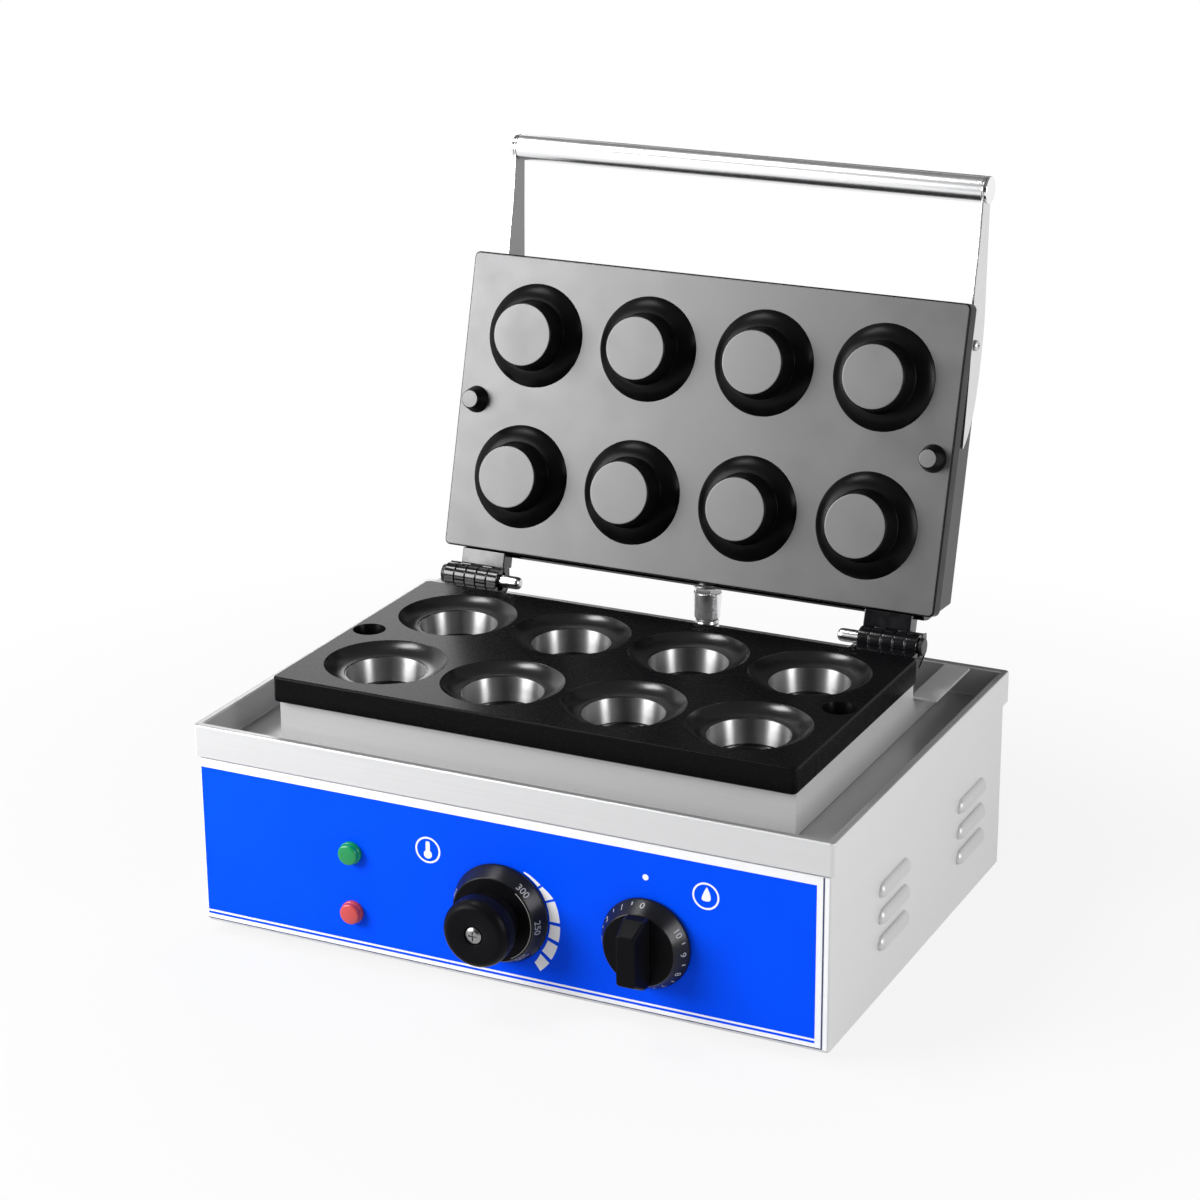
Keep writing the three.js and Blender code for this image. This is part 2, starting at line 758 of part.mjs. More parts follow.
function lowerHinge() {
  const low = -hingeBlockHeight;
  const high = -partingGap;
  const half = hingeBlockWidth / 2;
  const stop = [hingeStopHigh, hingeStopLow].map((z) => turnOpen([hingeBack + fit, z]));
  const web = [[hingeBack, low], [0, low], [stop[0][0], low / 2], ...stop, [0, 0], [hingeBack, high]];
  return hingeCasting(-1, 0, web, [
    block(-half, half, hingeFront, hingeBack, low, high),
    block(-barrelHalf, barrelHalf, hingeBack - fit, 0, low, hingeBack),
  ]);
}

// The upper block stands over the inner knuckles only
function upperHinge(side) {
  const low = behind(knuckleGap);
  const high = behind(upperDieThickness);
  const reach = span(-side * barrelHalf, side * (knucklePitch + knuckleWidth / 2));
  const web = [[hingeBack - fit, low], [0, 0], [0, barrelRadius], [hingeBack - fit, high]];
  return hingeCasting(1, 1, web, [block(...reach, hingeFront, hingeBack, low, high)]);
}

// The pin's rounded end stands out of the casting on the side towards the machine's middle
function hingePin(side) {
  const inner = -barrelHalf - hingePinReach;
  const outer = barrelHalf + fit;
  const round = hingePinRadius * Math.SQRT1_2;
  const pin = lathe([
    [0, inner],
    [round, inner + hingePinRadius - round],
    [hingePinRadius, inner + hingePinRadius],
    [hingePinRadius, outer],
    [hingePinRadius + hingePinHead / 2, outer],
    [hingePinRadius + hingePinHead / 2, outer + hingePinHead],
    [0, outer + hingePinHead],
  ], 14).rotateY(Math.PI / 2);
  return side > 0 ? pin : pin.rotateZ(Math.PI);
}

// A chain of points with every corner but the ends rounded off
function bentLine(corners, radius) {
  const points = [corners[0]];
  corners.slice(1, -1).forEach((corner, i) => {
    const from = corner.clone().addScaledVector(corners[i].clone().sub(corner).normalize(), radius);
    const to = corner.clone().addScaledVector(corners[i + 2].clone().sub(corner).normalize(), radius);
    points.push(...new THREE.QuadraticBezierCurve3(from, corner, to).getPoints(bendSteps));
  });
  return [...points, corners[corners.length - 1]];
}

// A tube whose rings stand square to the line through their centres, closed by a flat cap at each end,
// or, where a bore is given, by a ring round the bore
function ringedTube(rings, ringSides, bore = null) {
  const centres = rings.map((ring) => ring.centre);
  const tangents = centres.map((_, i) => {
    const back = centres[Math.max(i - 1, 0)];
    const next = centres[Math.min(i + 1, centres.length - 1)];
    return next.clone().sub(back).normalize();
  });
  const across = Math.abs(tangents[0].x) < Math.SQRT1_2 ? point(1, 0, 0) : point(0, 1, 0);
  let side = across;
  const positions = [];
  const ringAt = (centre, tangent, radius) => {
    side = side.clone().addScaledVector(tangent, -side.dot(tangent)).normalize();
    const up = tangent.clone().cross(side);
    for (let k = 0; k < ringSides; k += 1) {
      const angle = (k / ringSides) * 2 * Math.PI;
      const corner = centre.clone()
        .addScaledVector(side, radius * Math.cos(angle))
        .addScaledVector(up, radius * Math.sin(angle));
      positions.push(corner.x, corner.y, corner.z);
    }
  };
  rings.forEach((ring, i) => ringAt(ring.centre, tangents[i], ring.radius));
  const index = [];
  const band = (a, b) => {
    for (let k = 0; k < ringSides; k += 1) {
      const n = (k + 1) % ringSides;
      index.push(a + k, a + n, b + n, a + k, b + n, b + k);
    }
  };
  for (let i = 0; i + 1 < rings.length; i += 1) band(i * ringSides, (i + 1) * ringSides);
  const last = (rings.length - 1) * ringSides;
  if (bore === null) {
    for (let k = 1; k + 1 < ringSides; k += 1) {
      index.push(0, k + 1, k, last, last + k, last + k + 1);
    }
  } else {
    side = across;
    const boreStart = rings.length * ringSides;
    const picked = rings.map((_, i) => i).filter((i) => i % bore.step === 0 || i === rings.length - 1);
    picked.forEach((i) => ringAt(rings[i].centre, tangents[i], bore.radius));
    band(boreStart, 0);
    picked.slice(1).forEach((_, j) => band(boreStart + (j + 1) * ringSides, boreStart + j * ringSides));
    band(last, boreStart + (picked.length - 1) * ringSides);
  }
  const geometry = new THREE.BufferGeometry();
  geometry.setAttribute('position', new THREE.BufferAttribute(Float32Array.from(positions), 3));
  geometry.setIndex(index);
  return geometry;
}

const sweptRod = (points, radius, sideCount) => ringedTube(
  points.map((centre) => ({ centre, radius })), sideCount);

// Heating elements. The lower one and the upper one are the same but for the way that their tails point.
// Level is -1 for the lower die and 1 for the upper one, and offDie() measures outwards from the die's back
const offDie = (level, height) => (level > 0 ? behind(upperDieThickness) + height : dieBase - height);
const lidShift = (level) => (level > 0 ? -hingeY : 0);
const clampMiddle = (level) => dieMiddleY + lidShift(level);
const clampXs = [-clampSpread, clampSpread];

function heater(level) {
  const halfX = dieHalfX - heaterInset;
  const y0 = heaterFront + lidShift(level);
  const y1 = heaterRear + lidShift(level);
  const z = offDie(level, heaterRadius + fit);
  const end = z + level * heaterTail;
  return sweptRod(bentLine([
    point(-heaterTailSpread, y1, end),
    point(-heaterTailSpread, y1, z),
    point(-halfX, y1, z),
    point(-halfX, y0, z),
    point(halfX, y0, z),
    point(halfX, y1, z),
    point(heaterTailSpread, y1, z),
    point(heaterTailSpread, y1, end),
  ], heaterBend), heaterRadius, heaterSides);
}

const clampInside = 2 * (heaterRadius + fit);
const clampOutside = clampInside + clampThickness;

function clampBoltHoles(level) {
  const [z0, z1] = span(offDie(level, -clampBoltDepth - fit), offDie(level, cutOverrun));
  return clampXs.map((x) => rod(screwRadius + fit, z0, z1, 10).translate(x, clampMiddle(level), 0));
}

function heaterClamp(level, x) {
  const half = clampWidth / 2;
  const y0 = heaterFront - half + lidShift(level);
  const y1 = heaterRear + half + lidShift(level);
  const [z0, z1] = span(offDie(level, clampInside), offDie(level, clampOutside));
  return cut(
    block(x - half, x + half, y0, y1, z0, z1),
    rod(screwRadius + fit, z0 - cutOverrun, z1 + cutOverrun, 10).translate(x, clampMiddle(level), 0),
  );
}

// Heat shield that closes the well below the heater, on the well's foot flange
function heatShield() {
  const halfX = wellHalfWidth - wellSheet - fit;
  const z = trayFloorTop + fit + wellSheet + fit;
  const top = z + thinSheet;
  const port = (radius, x, y) => rod(radius, z - cutOverrun, top + cutOverrun, 12).translate(x, y, 0);
  return cut(
    block(-halfX, halfX, wellFront + wellSheet + fit, wellRear - wellSheet - fit, z, top),
    ...[-heaterTailSpread, heaterTailSpread].map((x) => port(heaterRadius + 2 * fit, x, heaterRear)),
    port(capillaryRadius + 2 * fit, thermostatX, capillaryY),
  );
}

// Insulation pad in the lid, with holes for the posts, the tails and the clamp bolts' heads
function insulationPad() {
  const z0 = offDie(1, clampOutside + fit);
  const z1 = z0 + padThickness;
  const tailsY = heaterRear + lidShift(1);
  const port = (radius, x, y) => rod(radius + 2 * fit, z0 - cutOverrun, z1 + cutOverrun, 8)
    .translate(x, y, 0);
  return cut(
    block(-padHalfWidth, padHalfWidth, along(dieDepth - padInset), along(padInset), z0, z1),
    ...standoffPlaces.map(([x, y]) => port(standoffRadius, x, y)),
    block(-heaterTailSpread - heaterBend, heaterTailSpread + heaterBend, tailsY - heaterRadius - 2 * fit,
      tailsY + heaterRadius + 2 * fit, z0 - cutOverrun, z1 + cutOverrun),
    ...clampXs.map((x) => port(clampHeadRadius, x, clampMiddle(1))),
  );
}

// Lid cover: a folded box behind the die, open towards it, with a sloping lower face

const coverOutline = (inset) => [
  [along(-coverHeel + inset), behind(upperDieThickness + fit)],
  [along(-coverHeel + inset), behind(coverHeelDepth - inset * Math.tan(heelTilt / 2))],
  [along(coverRearFrom + inset), behind(coverRearDepth - inset)],
  [along(coverRearTo - inset), behind(coverTopDepth - inset)],
  [along(coverRearTo - inset), behind(upperDieThickness + fit)],
];

// A shape drawn round the Z axis, seated on the lid's lower face and pointing out of it
const glandShape = (shape) => shape
  .rotateX(heelTilt - Math.PI / 2)
  .translate(conduitX, ...glandSeat);

function lidCover() {
  const inner = coverOutline(sheet);
  inner[0][1] -= cutOverrun;
  inner[inner.length - 1][1] -= cutOverrun;
  const screwHoles = standoffPlaces.map(([x, y]) => rod(screwRadius + fit,
    behind(coverTopDepth) - sheet - cutOverrun, behind(coverRearDepth) + cutOverrun, 10).translate(x, y, 0));
  const inside = coverHalfWidth - sheet;
  const box = cut(alongX(coverOutline(0), -coverHalfWidth, coverHalfWidth), alongX(inner, -inside, inside));
  const nuts = sides.map(([, side]) => rodAlongX(rivetNutRadius, ...span(side * (inside - rivetNut),
    side * (inside + sheet / 2)), along(armScrewAlong), behind(armScrewDepth), 12));
  const past = coverHalfWidth + cutOverrun;
  return cut(
    join(box, ...nuts),
    rodAlongX(screwRadius + fit, -past, past, along(armScrewAlong), behind(armScrewDepth), 12),
    ...screwHoles,
    glandShape(rod(conduitBore + conduitFlange + fit, -cutOverrun, cutOverrun)),
  );
}

// Posts that carry the cover, each with a stud in the die and a bore for the cover's screw
const standoffRows = [['rear', standoffInset], ['front', dieDepth - standoffInset]];
const standoffPlaces = standoffRows.flatMap(
  ([, s]) => sides.map(([, side]) => [side * standoffSpread, along(s)]));

function lidPost(side, s) {
  const top = behind(coverDepthAt(s + standoffRadius) - sheet - fit);
  const low = behind(upperDieThickness + fit);
  return cut(
    join(
      rod(standoffRadius, low, top, 12),
      rod(standoffStudRadius, behind(upperDieThickness - standoffStud), low + fit, 12),
    ),
    rod(screwRadius + fit, top - standoffBore, top + cutOverrun, 10),
  ).translate([side * standoffSpread, along(s), 0]);
}

// Arms, handle and their screws

const armInside = coverHalfWidth + armGap;
const armOutside = armInside + armSheet;

function arm(side) {
  const place = ([s, d]) => [along(handleAlong + s), behind(d)];
  const end = Array.from({ length: armEndSteps + 1 }, (_, i) => {
    const angle = armEndSweep * (2 * i / armEndSteps - 1);
    return [handleRadius * Math.cos(angle), handleDepth + handleRadius * Math.sin(angle)];
  });
  const [x0, x1] = span(side * armInside, side * armOutside);
  return cut(
    alongX([...armFrontEdge, ...end, ...armRearEdge].map(place), x0, x1),
    rodAlongX(handleRodRadius + fit, x0 - cutOverrun, x1 + cutOverrun, ...place([0, handleDepth]), 16),
    rodAlongX(screwRadius + fit, x0 - cutOverrun, x1 + cutOverrun, along(armScrewAlong),
      behind(armScrewDepth), 12),
  );
}

function armScrew(side) {
  const head = armOutside + fit;
  return lathe([
    [0, coverHalfWidth - sheet - rivetNut],
    [screwRadius, coverHalfWidth - sheet - rivetNut],
    [screwRadius, head],
    [screwHeadRadius, head],
    [screwHeadRadius, head + screwHeadHeight / 2],
    [screwRadius, head + screwHeadHeight],
    [0, head + screwHeadHeight],
  ], 12).rotateY(side * Math.PI / 2).translate(0, along(armScrewAlong), behind(armScrewDepth));
}

const alongHandle = (radius, x0, x1, steps) => rodAlongX(radius, x0, x1, along(handleAlong),
  behind(handleDepth), steps);

const handleTube = () => cut(
  alongHandle(handleRadius, -armInside + fit, armInside - fit, 20),
  alongHandle(handleRadius - handleWall, -armOutside, armOutside, 16),
);

// The rod joins the arms through the tube, and each end takes the shank of a flat cap
const handleRod = () => cut(
  alongHandle(handleRodRadius, -armOutside, armOutside, 12),
  ...sides.map(([, side]) => alongHandle(screwRadius + fit, ...span(
    side * (armOutside - handleCapShank - fit), side * (armOutside + cutOverrun)), 10)),
);

function handleCap(side) {
  const seat = armOutside + fit;
  return lathe([
    [0, armOutside - handleCapShank],
    [screwRadius, armOutside - handleCapShank],
    [screwRadius, seat],
    [handleRadius, seat],
    [handleRadius, seat + handleCapLength - handleCapEdge],
    [handleRadius - handleCapEdge, seat + handleCapLength],
    [0, seat + handleCapLength],
  ], 20).rotateY(side * Math.PI / 2).translate(0, along(handleAlong), behind(handleDepth));
}

// Control panel

function controlPanel() {
  const x = shellHalfX - panelMargin;
  return cut(block(-x, x, -panelFace, -panelFace + panelSheet, panelLow, panelHigh), ...frontHoles());
}

// Pieces on the panel are drawn round the Z axis, outwards from the panel's face, in a group that is turned
// to face the operator
function onPanel(x, z) {
  const group = new THREE.Group();
  group.position.set(x, -panelFace, z);
  group.rotation.x = Math.PI / 2;
  model.add(group);
  return group;
}

function lampLens() {
  return lathe([
    [0, fit],
    [lampRadius, fit],
    [lampRadius, lampReach * lampShares[0]],
    [lampRadius * lampDomeShare, lampReach * lampShares[1]],
    [0, lampReach],
  ], 20);
}

function lampBody() {
  const nut = wallInside - fit;
  return join(
    rod(lampBodyRadius, -lampBodyLength, 0, 16),
    rod(lampNutRadius, nut - lampNut, nut, 6),
  );
}

function controlBody(size, length) {
  const face = wallInside - fit;
  const half = size / 2;
  return cut(
    join(
      roundedBlock(-half, half, -half, half, face - length, face, controlCorner, 2),
      rod(bushRadius, face - fit, 0, 16),
    ),
    rod(spindleRadius + fit, -spindleDepth - fit, cutOverrun, 12),
    ...controlScrewPlaces.map((x) => rod(controlScrewRadius + fit, -controlScrewDepth - fit, 0, 10)
      .translate(x, 0, 0)),
  );
}

const gripBase = knobStandOff + dialThickness + fit;
const timerGripBase = knobStandOff + timerSkirt;

const spindle = (seat) => rod(spindleRadius, -spindleDepth, seat + spindleSocket, 12);

function skirt(radius, face, thickness) {
  const low = knobStandOff;
  const hole = spindleRadius + fit;
  return lathe([
    [hole, low + knobRecess],
    [knobRecessRadius, low + knobRecess],
    [knobRecessRadius, low],
    [radius, low],
    [radius, low + dialEdge],
    [face, low + thickness],
    [hole, low + thickness],
    [hole, low + knobRecess],
  ], 22);
}

function thermostatGrip() {
  const hole = spindleRadius + fit;
  const [neck, crown, edge] = gripShares.map((share) => gripBase + gripLength * share);
  const top = gripBase + gripLength;
  return lathe([
    [0, gripBase + spindleSocket + fit],
    [hole, gripBase + spindleSocket + fit],
    [hole, gripBase],
    [gripNeck, gripBase],
    [gripNeck, neck],
    [gripRadius, crown],
    [gripRadius, edge],
    [gripRadius - gripBevel, top],
    [0, top],
  ], 22);
}

function timerKnob() {
  const base = timerGripBase - dialEdge;
  const shoulder = timerGripBase + timerGripShoulder;
  const top = timerGripBase + timerGripHeight;
  const half = timerGripLength / 2;
  const face = timerGripFace / 2;
  const bar = [[-half, base], [-half, shoulder], [-face, top], [face, top], [half, shoulder], [half, base]];
  return cut(
    join(skirt(timerRadius, timerFace, timerSkirt), alongX(bar, -timerGripWidth / 2, timerGripWidth / 2)),
    rod(spindleRadius + fit, 0, timerGripBase + spindleSocket + fit, 12),
  );
}

// Thermostat bulb under the lower die and the thin tube that joins it to the thermostat
const capillaryY = -panelFace - wallInside + fit + thermostatLength + capillaryBack;

function thermostatBulb() {
  const x = thermostatX;
  const start = -panelFace - wallInside + 2 * fit + thermostatLength;
  const low = controlHeight + capillaryRise;
  const z = offDie(-1, bulbRadius + fit);
  const end = x - capillaryBend - bulbRadius;
  const line = bentLine([
    point(x, start, low),
    point(x, capillaryY, low),
    point(x, capillaryY, z),
    point(x, dieMiddleY, z),
    point(end, dieMiddleY, z),
  ], capillaryBend);
  const bulb = [bulbRadius, bulbLength - bulbRadius].map((step) => point(end - step, dieMiddleY, z));
  const tip = point(end - bulbLength, dieMiddleY, z);
  return ringedTube([
    ...line.map((centre) => ({ centre, radius: capillaryRadius })),
    ...bulb.map((centre) => ({ centre, radius: bulbRadius })),
    { centre: tip, radius: capillaryRadius },
  ], heaterSides);
}

// Terminal block on the pan, with a raised barrier between its poles and a brass screw in each pole

const polePitch = terminalLength / terminalPoles;
const poleXs = Array.from({ length: terminalPoles },
  (_, i) => terminalX + (i - (terminalPoles - 1) / 2) * polePitch);
const terminalTop = panTop + fit + terminalHeight;

function terminalBlock() {
  const half = terminalLength / 2;
  const [y0, y1] = [terminalY - terminalWidth / 2, terminalY + terminalWidth / 2];
  const barriers = Array.from({ length: terminalPoles + 1 }, (_, i) => {
    const x = terminalX - half + i * (terminalLength - terminalBarrier) / terminalPoles;
    return block(x, x + terminalBarrier, y0, y1, terminalTop - fit, terminalTop + terminalBarrierRise);
  });
  return cut(
    join(block(terminalX - half, terminalX + half, y0, y1, panTop + fit, terminalTop), ...barriers),
    ...poleXs.map((x) => rod(screwRadius + fit, terminalTop - terminalScrewDepth - fit,
      terminalTop + cutOverrun, 10).translate(x, terminalY, 0)),
  );
}

// Rear cable gland: a hollow screwed fitting outside the wall and a nut inside it

const onRearWall = (shape) => shape.rotateX(-Math.PI / 2).translate(glandX, shellHalfY, glandHeight);

function rearGland() {
  return onRearWall(lathe([
    [glandBore, -sheet - glandNut - 2 * fit],
    [glandShank, -sheet - glandNut - 2 * fit],
    [glandShank, fit],
    [glandRadius, fit],
    [glandRadius, glandCollar],
    [glandShank + fit, glandReach],
    [glandBore, glandReach],
    [glandBore, -sheet - glandNut - 2 * fit],
  ], 14));
}

const ringNut = (bore, radius, top, height) => cut(
  rod(radius, top - height, top, 6),
  rod(bore, top - height - cutOverrun, top + cutOverrun),
);

const rearGlandNut = () => ringNut(glandShank + fit, glandRadius, -sheet - fit, glandNut)
  .rotate([-90, 0, 0])
  .translate([glandX, shellHalfY, glandHeight]);

// Conduit between the housing and the lid, its glands and the nut under the tray

function conduit() {
  const end = point(conduitX, hingeY + conduitEndY, hingeZ + conduitEndZ);
  const straight = 2 * conduitRadius;
  const knee = end.clone().addScaledVector(point(0, conduitAxisY, conduitAxisZ), straight);
  const start = point(conduitX, conduitY, conduitLow);
  const upright = knee.distanceTo(start);
  const total = upright + straight;
  const count = 2 * Math.round(total / conduitPitch);
  const rings = Array.from({ length: count + 1 }, (_, i) => {
    const run = total * i / count;
    const centre = run < upright
      ? start.clone().lerp(knee, run / upright)
      : knee.clone().lerp(end, (run - upright) / straight);
    return { centre, radius: i % 2 === 0 ? conduitRoot : conduitRadius };
  });
  return ringedTube(rings, conduitSides, { step: conduitBoreStep, radius: conduitBore });
}

const conduitHole = conduitRadius + conduitFlange;

function conduitBaseGland() {
  const low = -sheet - conduitNut - 2 * fit;
  const bore = conduitRadius + fit;
  return lathe([
    [bore, low],
    [conduitHole - fit, low],
    [conduitHole - fit, fit],
    [conduitGlandRadius, fit],
    [conduitGlandRadius, conduitGlandShoulder],
    [conduitHole, conduitGlandHeight],
    [bore, conduitGlandHeight],
    [bore, low],
  ], 18).translate(conduitX, conduitY, trayFloorTop);
}

const conduitBaseNut = () => ringNut(conduitHole, conduitGlandRadius + conduitFlange,
  trayFloorTop - sheet - fit, conduitNut).translate([conduitX, conduitY, 0]);

const lidGland = () => glandShape(lathe([
  [conduitBore, -sheet - lidGlandShank],
  [conduitBore + conduitFlange, -sheet - lidGlandShank],
  [conduitBore + conduitFlange, fit],
  [lidGlandRadius, fit],
  [lidGlandRadius, lidGlandReach],
  [conduitBore, lidGlandReach],
  [conduitBore, -sheet - lidGlandShank],
], 16));

// Assembly: base

part('body_shell', bodyShell(), steel());
part('bottom_pan', bottomPan(), steel());
footPlaces.forEach(([name, x, y]) => {
  part(`foot_${name}`, foot(), rubber()).position.set(x, y, 0);
});
part('top_tray', topTray(), brightSteel());
part('die_well', dieWell(), brightSteel());
part('heat_shield', heatShield(), steel());
part('lower_die', lowerDie(), castBlack());
part('lower_heating_element', heater(-1), steel());
part('thermostat_bulb', thermostatBulb(), brass());
part('terminal_block', terminalBlock(), ceramic());
part('rear_cable_gland', rearGland(), blackPlastic());
part('rear_gland_nut', rearGlandNut(), blackPlastic());
part('conduit', conduit(), conduitGrey());
part('conduit_base_gland', conduitBaseGland(), blackPlastic());
part('conduit_base_nut', conduitBaseNut(), blackPlastic());

// Assembly: controls

part('control_panel', controlPanel(), panelBlue());
lampHeights.forEach(([name, z]) => {
  const place = onPanel(lampX, z);
  part(`${name}_lamp`, lampLens(), name === 'green' ? greenLens() : redLens(), place);
  part(`${name}_lamp_body`, lampBody(), blackPlastic(), place);
});

const thermostat = onPanel(thermostatX, controlHeight);
part('thermostat_body', controlBody(thermostatSize, thermostatLength), ceramic(), thermostat);
part('thermostat_spindle', spindle(gripBase), steel(), thermostat);
part('thermostat_dial', skirt(dialRadius, dialFace, dialThickness), blackPlastic(), thermostat);
part('thermostat_grip', thermostatGrip(), blackPlastic(), thermostat);

const timer = onPanel(timerX, controlHeight);
part('timer_body', controlBody(timerSize, timerLength), steel(), timer);
part('timer_spindle', spindle(timerGripBase), steel(), timer);
part('timer_knob', timerKnob(), blackPlastic(), timer);

// Assembly: hinges and lid

part('upper_die', upperDie(), castGrey(), lid);
part('upper_heating_element', heater(1), steel(), lid);
part('insulation_pad', insulationPad(), wool(), lid);
part('lid_cover', lidCover(), castBlack(), lid);
part('lid_conduit_gland', lidGland(), blackPlastic(), lid);
part('handle_tube', handleTube(), chrome(), lid);
part('handle_rod', handleRod(), steel(), lid);
sides.forEach(([name, side]) => {
  part(`lower_heater_clamp_${name}`, heaterClamp(-1, side * clampSpread), steel());
  part(`lower_hinge_${name}`, lowerHinge(), castBlack()).position.set(side * hingeCentre, hingeY, hingeZ);
  part(`hinge_pin_${name}`, hingePin(side), brightSteel()).position.set(side * hingeCentre, hingeY, hingeZ);
  part(`upper_hinge_${name}`, upperHinge(side), castBlack(), lid).position.set(side * hingeCentre, 0, 0);
  part(`upper_heater_clamp_${name}`, heaterClamp(1, side * clampSpread), steel(), lid);
  part(`locating_pin_${name}`, locatingPin(side), brightSteel(), lid);
  part(`arm_${name}`, arm(side), brightSteel(), lid);
  part(`arm_screw_${name}`, armScrew(side), steel(), lid);
  part(`handle_cap_${name}`, handleCap(side), brightSteel(), lid);
  standoffRows.forEach(([row, s]) => part(`lid_post_${row}_${name}`, lidPost(side, s), steel(), lid));
});

// The origin lies under the middle of the machine's depth with the lid open
model.updateMatrixWorld(true);
const reach = new THREE.Box3().setFromObject(model, true);
model.position.y = -(reach.min.y + reach.max.y) / 2;

export default model;
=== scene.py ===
"""A counter-top tartlet maker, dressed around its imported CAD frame.

Sizes are in millimetres and are turned into metres where a mesh is placed; the camera and the studio are in
metres. Depths (y) are measured from the middle of the housing, and BASE holds the shift to the model's frame.
"""

import math

import bmesh
import bpy
from mathutils import Matrix, Vector


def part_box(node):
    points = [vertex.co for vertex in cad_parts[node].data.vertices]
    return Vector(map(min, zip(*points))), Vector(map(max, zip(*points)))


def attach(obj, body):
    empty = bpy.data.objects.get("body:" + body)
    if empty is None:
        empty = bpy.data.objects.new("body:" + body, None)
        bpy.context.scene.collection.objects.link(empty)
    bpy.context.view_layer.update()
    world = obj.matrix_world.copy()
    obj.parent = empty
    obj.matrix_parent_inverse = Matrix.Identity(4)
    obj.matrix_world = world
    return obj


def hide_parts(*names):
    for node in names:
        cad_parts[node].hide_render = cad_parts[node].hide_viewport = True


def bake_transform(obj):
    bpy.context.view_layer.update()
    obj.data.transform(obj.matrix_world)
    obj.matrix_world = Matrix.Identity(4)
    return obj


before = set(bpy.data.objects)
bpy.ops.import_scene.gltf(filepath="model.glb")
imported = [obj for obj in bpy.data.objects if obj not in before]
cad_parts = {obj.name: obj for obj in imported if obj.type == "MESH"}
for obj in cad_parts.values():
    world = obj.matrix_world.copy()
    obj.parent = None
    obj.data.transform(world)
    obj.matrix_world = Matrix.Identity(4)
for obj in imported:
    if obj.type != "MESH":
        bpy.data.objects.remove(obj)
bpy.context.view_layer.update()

# Main sizes

MM = 0.001
SHEET = 1.2
RIM_X, RIM_Y = 225, 158.2
SHIFT_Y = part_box("top_tray")[0][1] / MM + RIM_Y
DIE_X, DIE_FRONT, DIE_REAR = 185.1, -123, 86.3
DIE_BOTTOM, DIE_TOP = 158.4, 175.9
PARTING_GAP = 1
HINGE_X, HINGE_Y, HINGE_Z = 157.5, 106.3, DIE_TOP
OPEN_ANGLE = math.radians(105.58)
PANEL_Y = -156.6
CONDUIT_X, CONDUIT_Y = 9, 138.69
OUTLET_X, OUTLET_Z = -150, 42
SIDES = (("left", -1), ("right", 1))

# Places. BASE and LID turn a mesh's own millimetres into the model's metres

at = Matrix.Translation
QUARTER_TURN = Matrix.Rotation(math.pi / 2, 4, "X")
DOWNWARDS = Matrix.Rotation(math.pi, 4, "X")
REARWARDS = Matrix.Rotation(-math.pi / 2, 4, "X")
ALONG_X = Matrix(((0, 0, 1, 0), (1, 0, 0, 0), (0, 1, 0, 0), (0, 0, 0, 1)))
BASE = at((0, SHIFT_Y * MM, 0)) @ Matrix.Diagonal((MM, MM, MM, 1))
LID = BASE @ at((0, HINGE_Y, HINGE_Z)) @ Matrix.Rotation(-OPEN_ANGLE, 4, "X")


def outwards(side):
    """Local z lies along x and points away from the middle, on either side."""
    return ALONG_X @ Matrix.Diagonal((1, 1, side, 1))


def on_panel(x, z):
    """Local x to the right, local y upwards and local z out of the panel's face."""
    return BASE @ at((x, PANEL_Y, z)) @ QUARTER_TURN


def along(distance):
    """A distance along the closed lid, forwards from the dies' rear edge, as the lid's own y."""
    return DIE_REAR - HINGE_Y - distance


def behind(distance):
    """A distance behind the upper die's face, as the lid's own z."""
    return PARTING_GAP + distance


# Camera, as the photograph was taken

view = bpy.data.cameras.new("photo_view")
view.lens = 93.578
view.sensor_width = 36
view.clip_end = 50
camera = bpy.data.objects.new("photo_view", view)
bpy.context.scene.collection.objects.link(camera)
camera.matrix_world = at((0, SHIFT_Y * MM, 0)) @ Matrix((
    (0.89862151, -0.14176416, 0.41518949, 0.8454695),
    (0.43865685, 0.30697114, -0.84459984, -1.7323854),
    (-0.0077172, 0.94110129, 0.33803669, 0.9090681),
    (0, 0, 0, 1),
))
bpy.context.scene.camera = camera

# Mesh helpers. Each shape is a bmesh in millimetres

WELD = 1e-4


def loft(loops, closed=False, capped=True):
    """Rings of points, each joined to the next. A closed form also joins the last ring to the first."""
    shape = bmesh.new()
    rings = [[shape.verts.new(point) for point in loop] for loop in loops]
    count = len(rings[0])
    run = rings + rings[:1] if closed else rings
    for low, high in zip(run, run[1:]):
        for i in range(count):
            j = (i + 1) % count
            shape.faces.new((low[i], low[j], high[j], high[i]))
    if capped and not closed:
        shape.faces.new(rings[0][::-1])
        shape.faces.new(rings[-1])
    bmesh.ops.recalc_face_normals(shape, faces=shape.faces)
    return shape


def eased(points, steps=4):
    """Corners given as (a, b, radius) are rounded; corners given as (a, b) stay."""
    line = []
    for i, corner in enumerate(points):
        if len(corner) < 3:
            line.append(tuple(corner))
            continue
        here = Vector(corner[:2])
        back = Vector(points[i - 1][:2]) - here
        ahead = Vector(points[(i + 1) % len(points)][:2]) - here
        start = here + back.normalized() * min(corner[2], back.length / 2)
        end = here + ahead.normalized() * min(corner[2], ahead.length / 2)
        for k in range(steps + 1):
            t = k / steps
            line.append(tuple(start * (1 - t) ** 2 + here * 2 * t * (1 - t) + end * t * t))
    return line


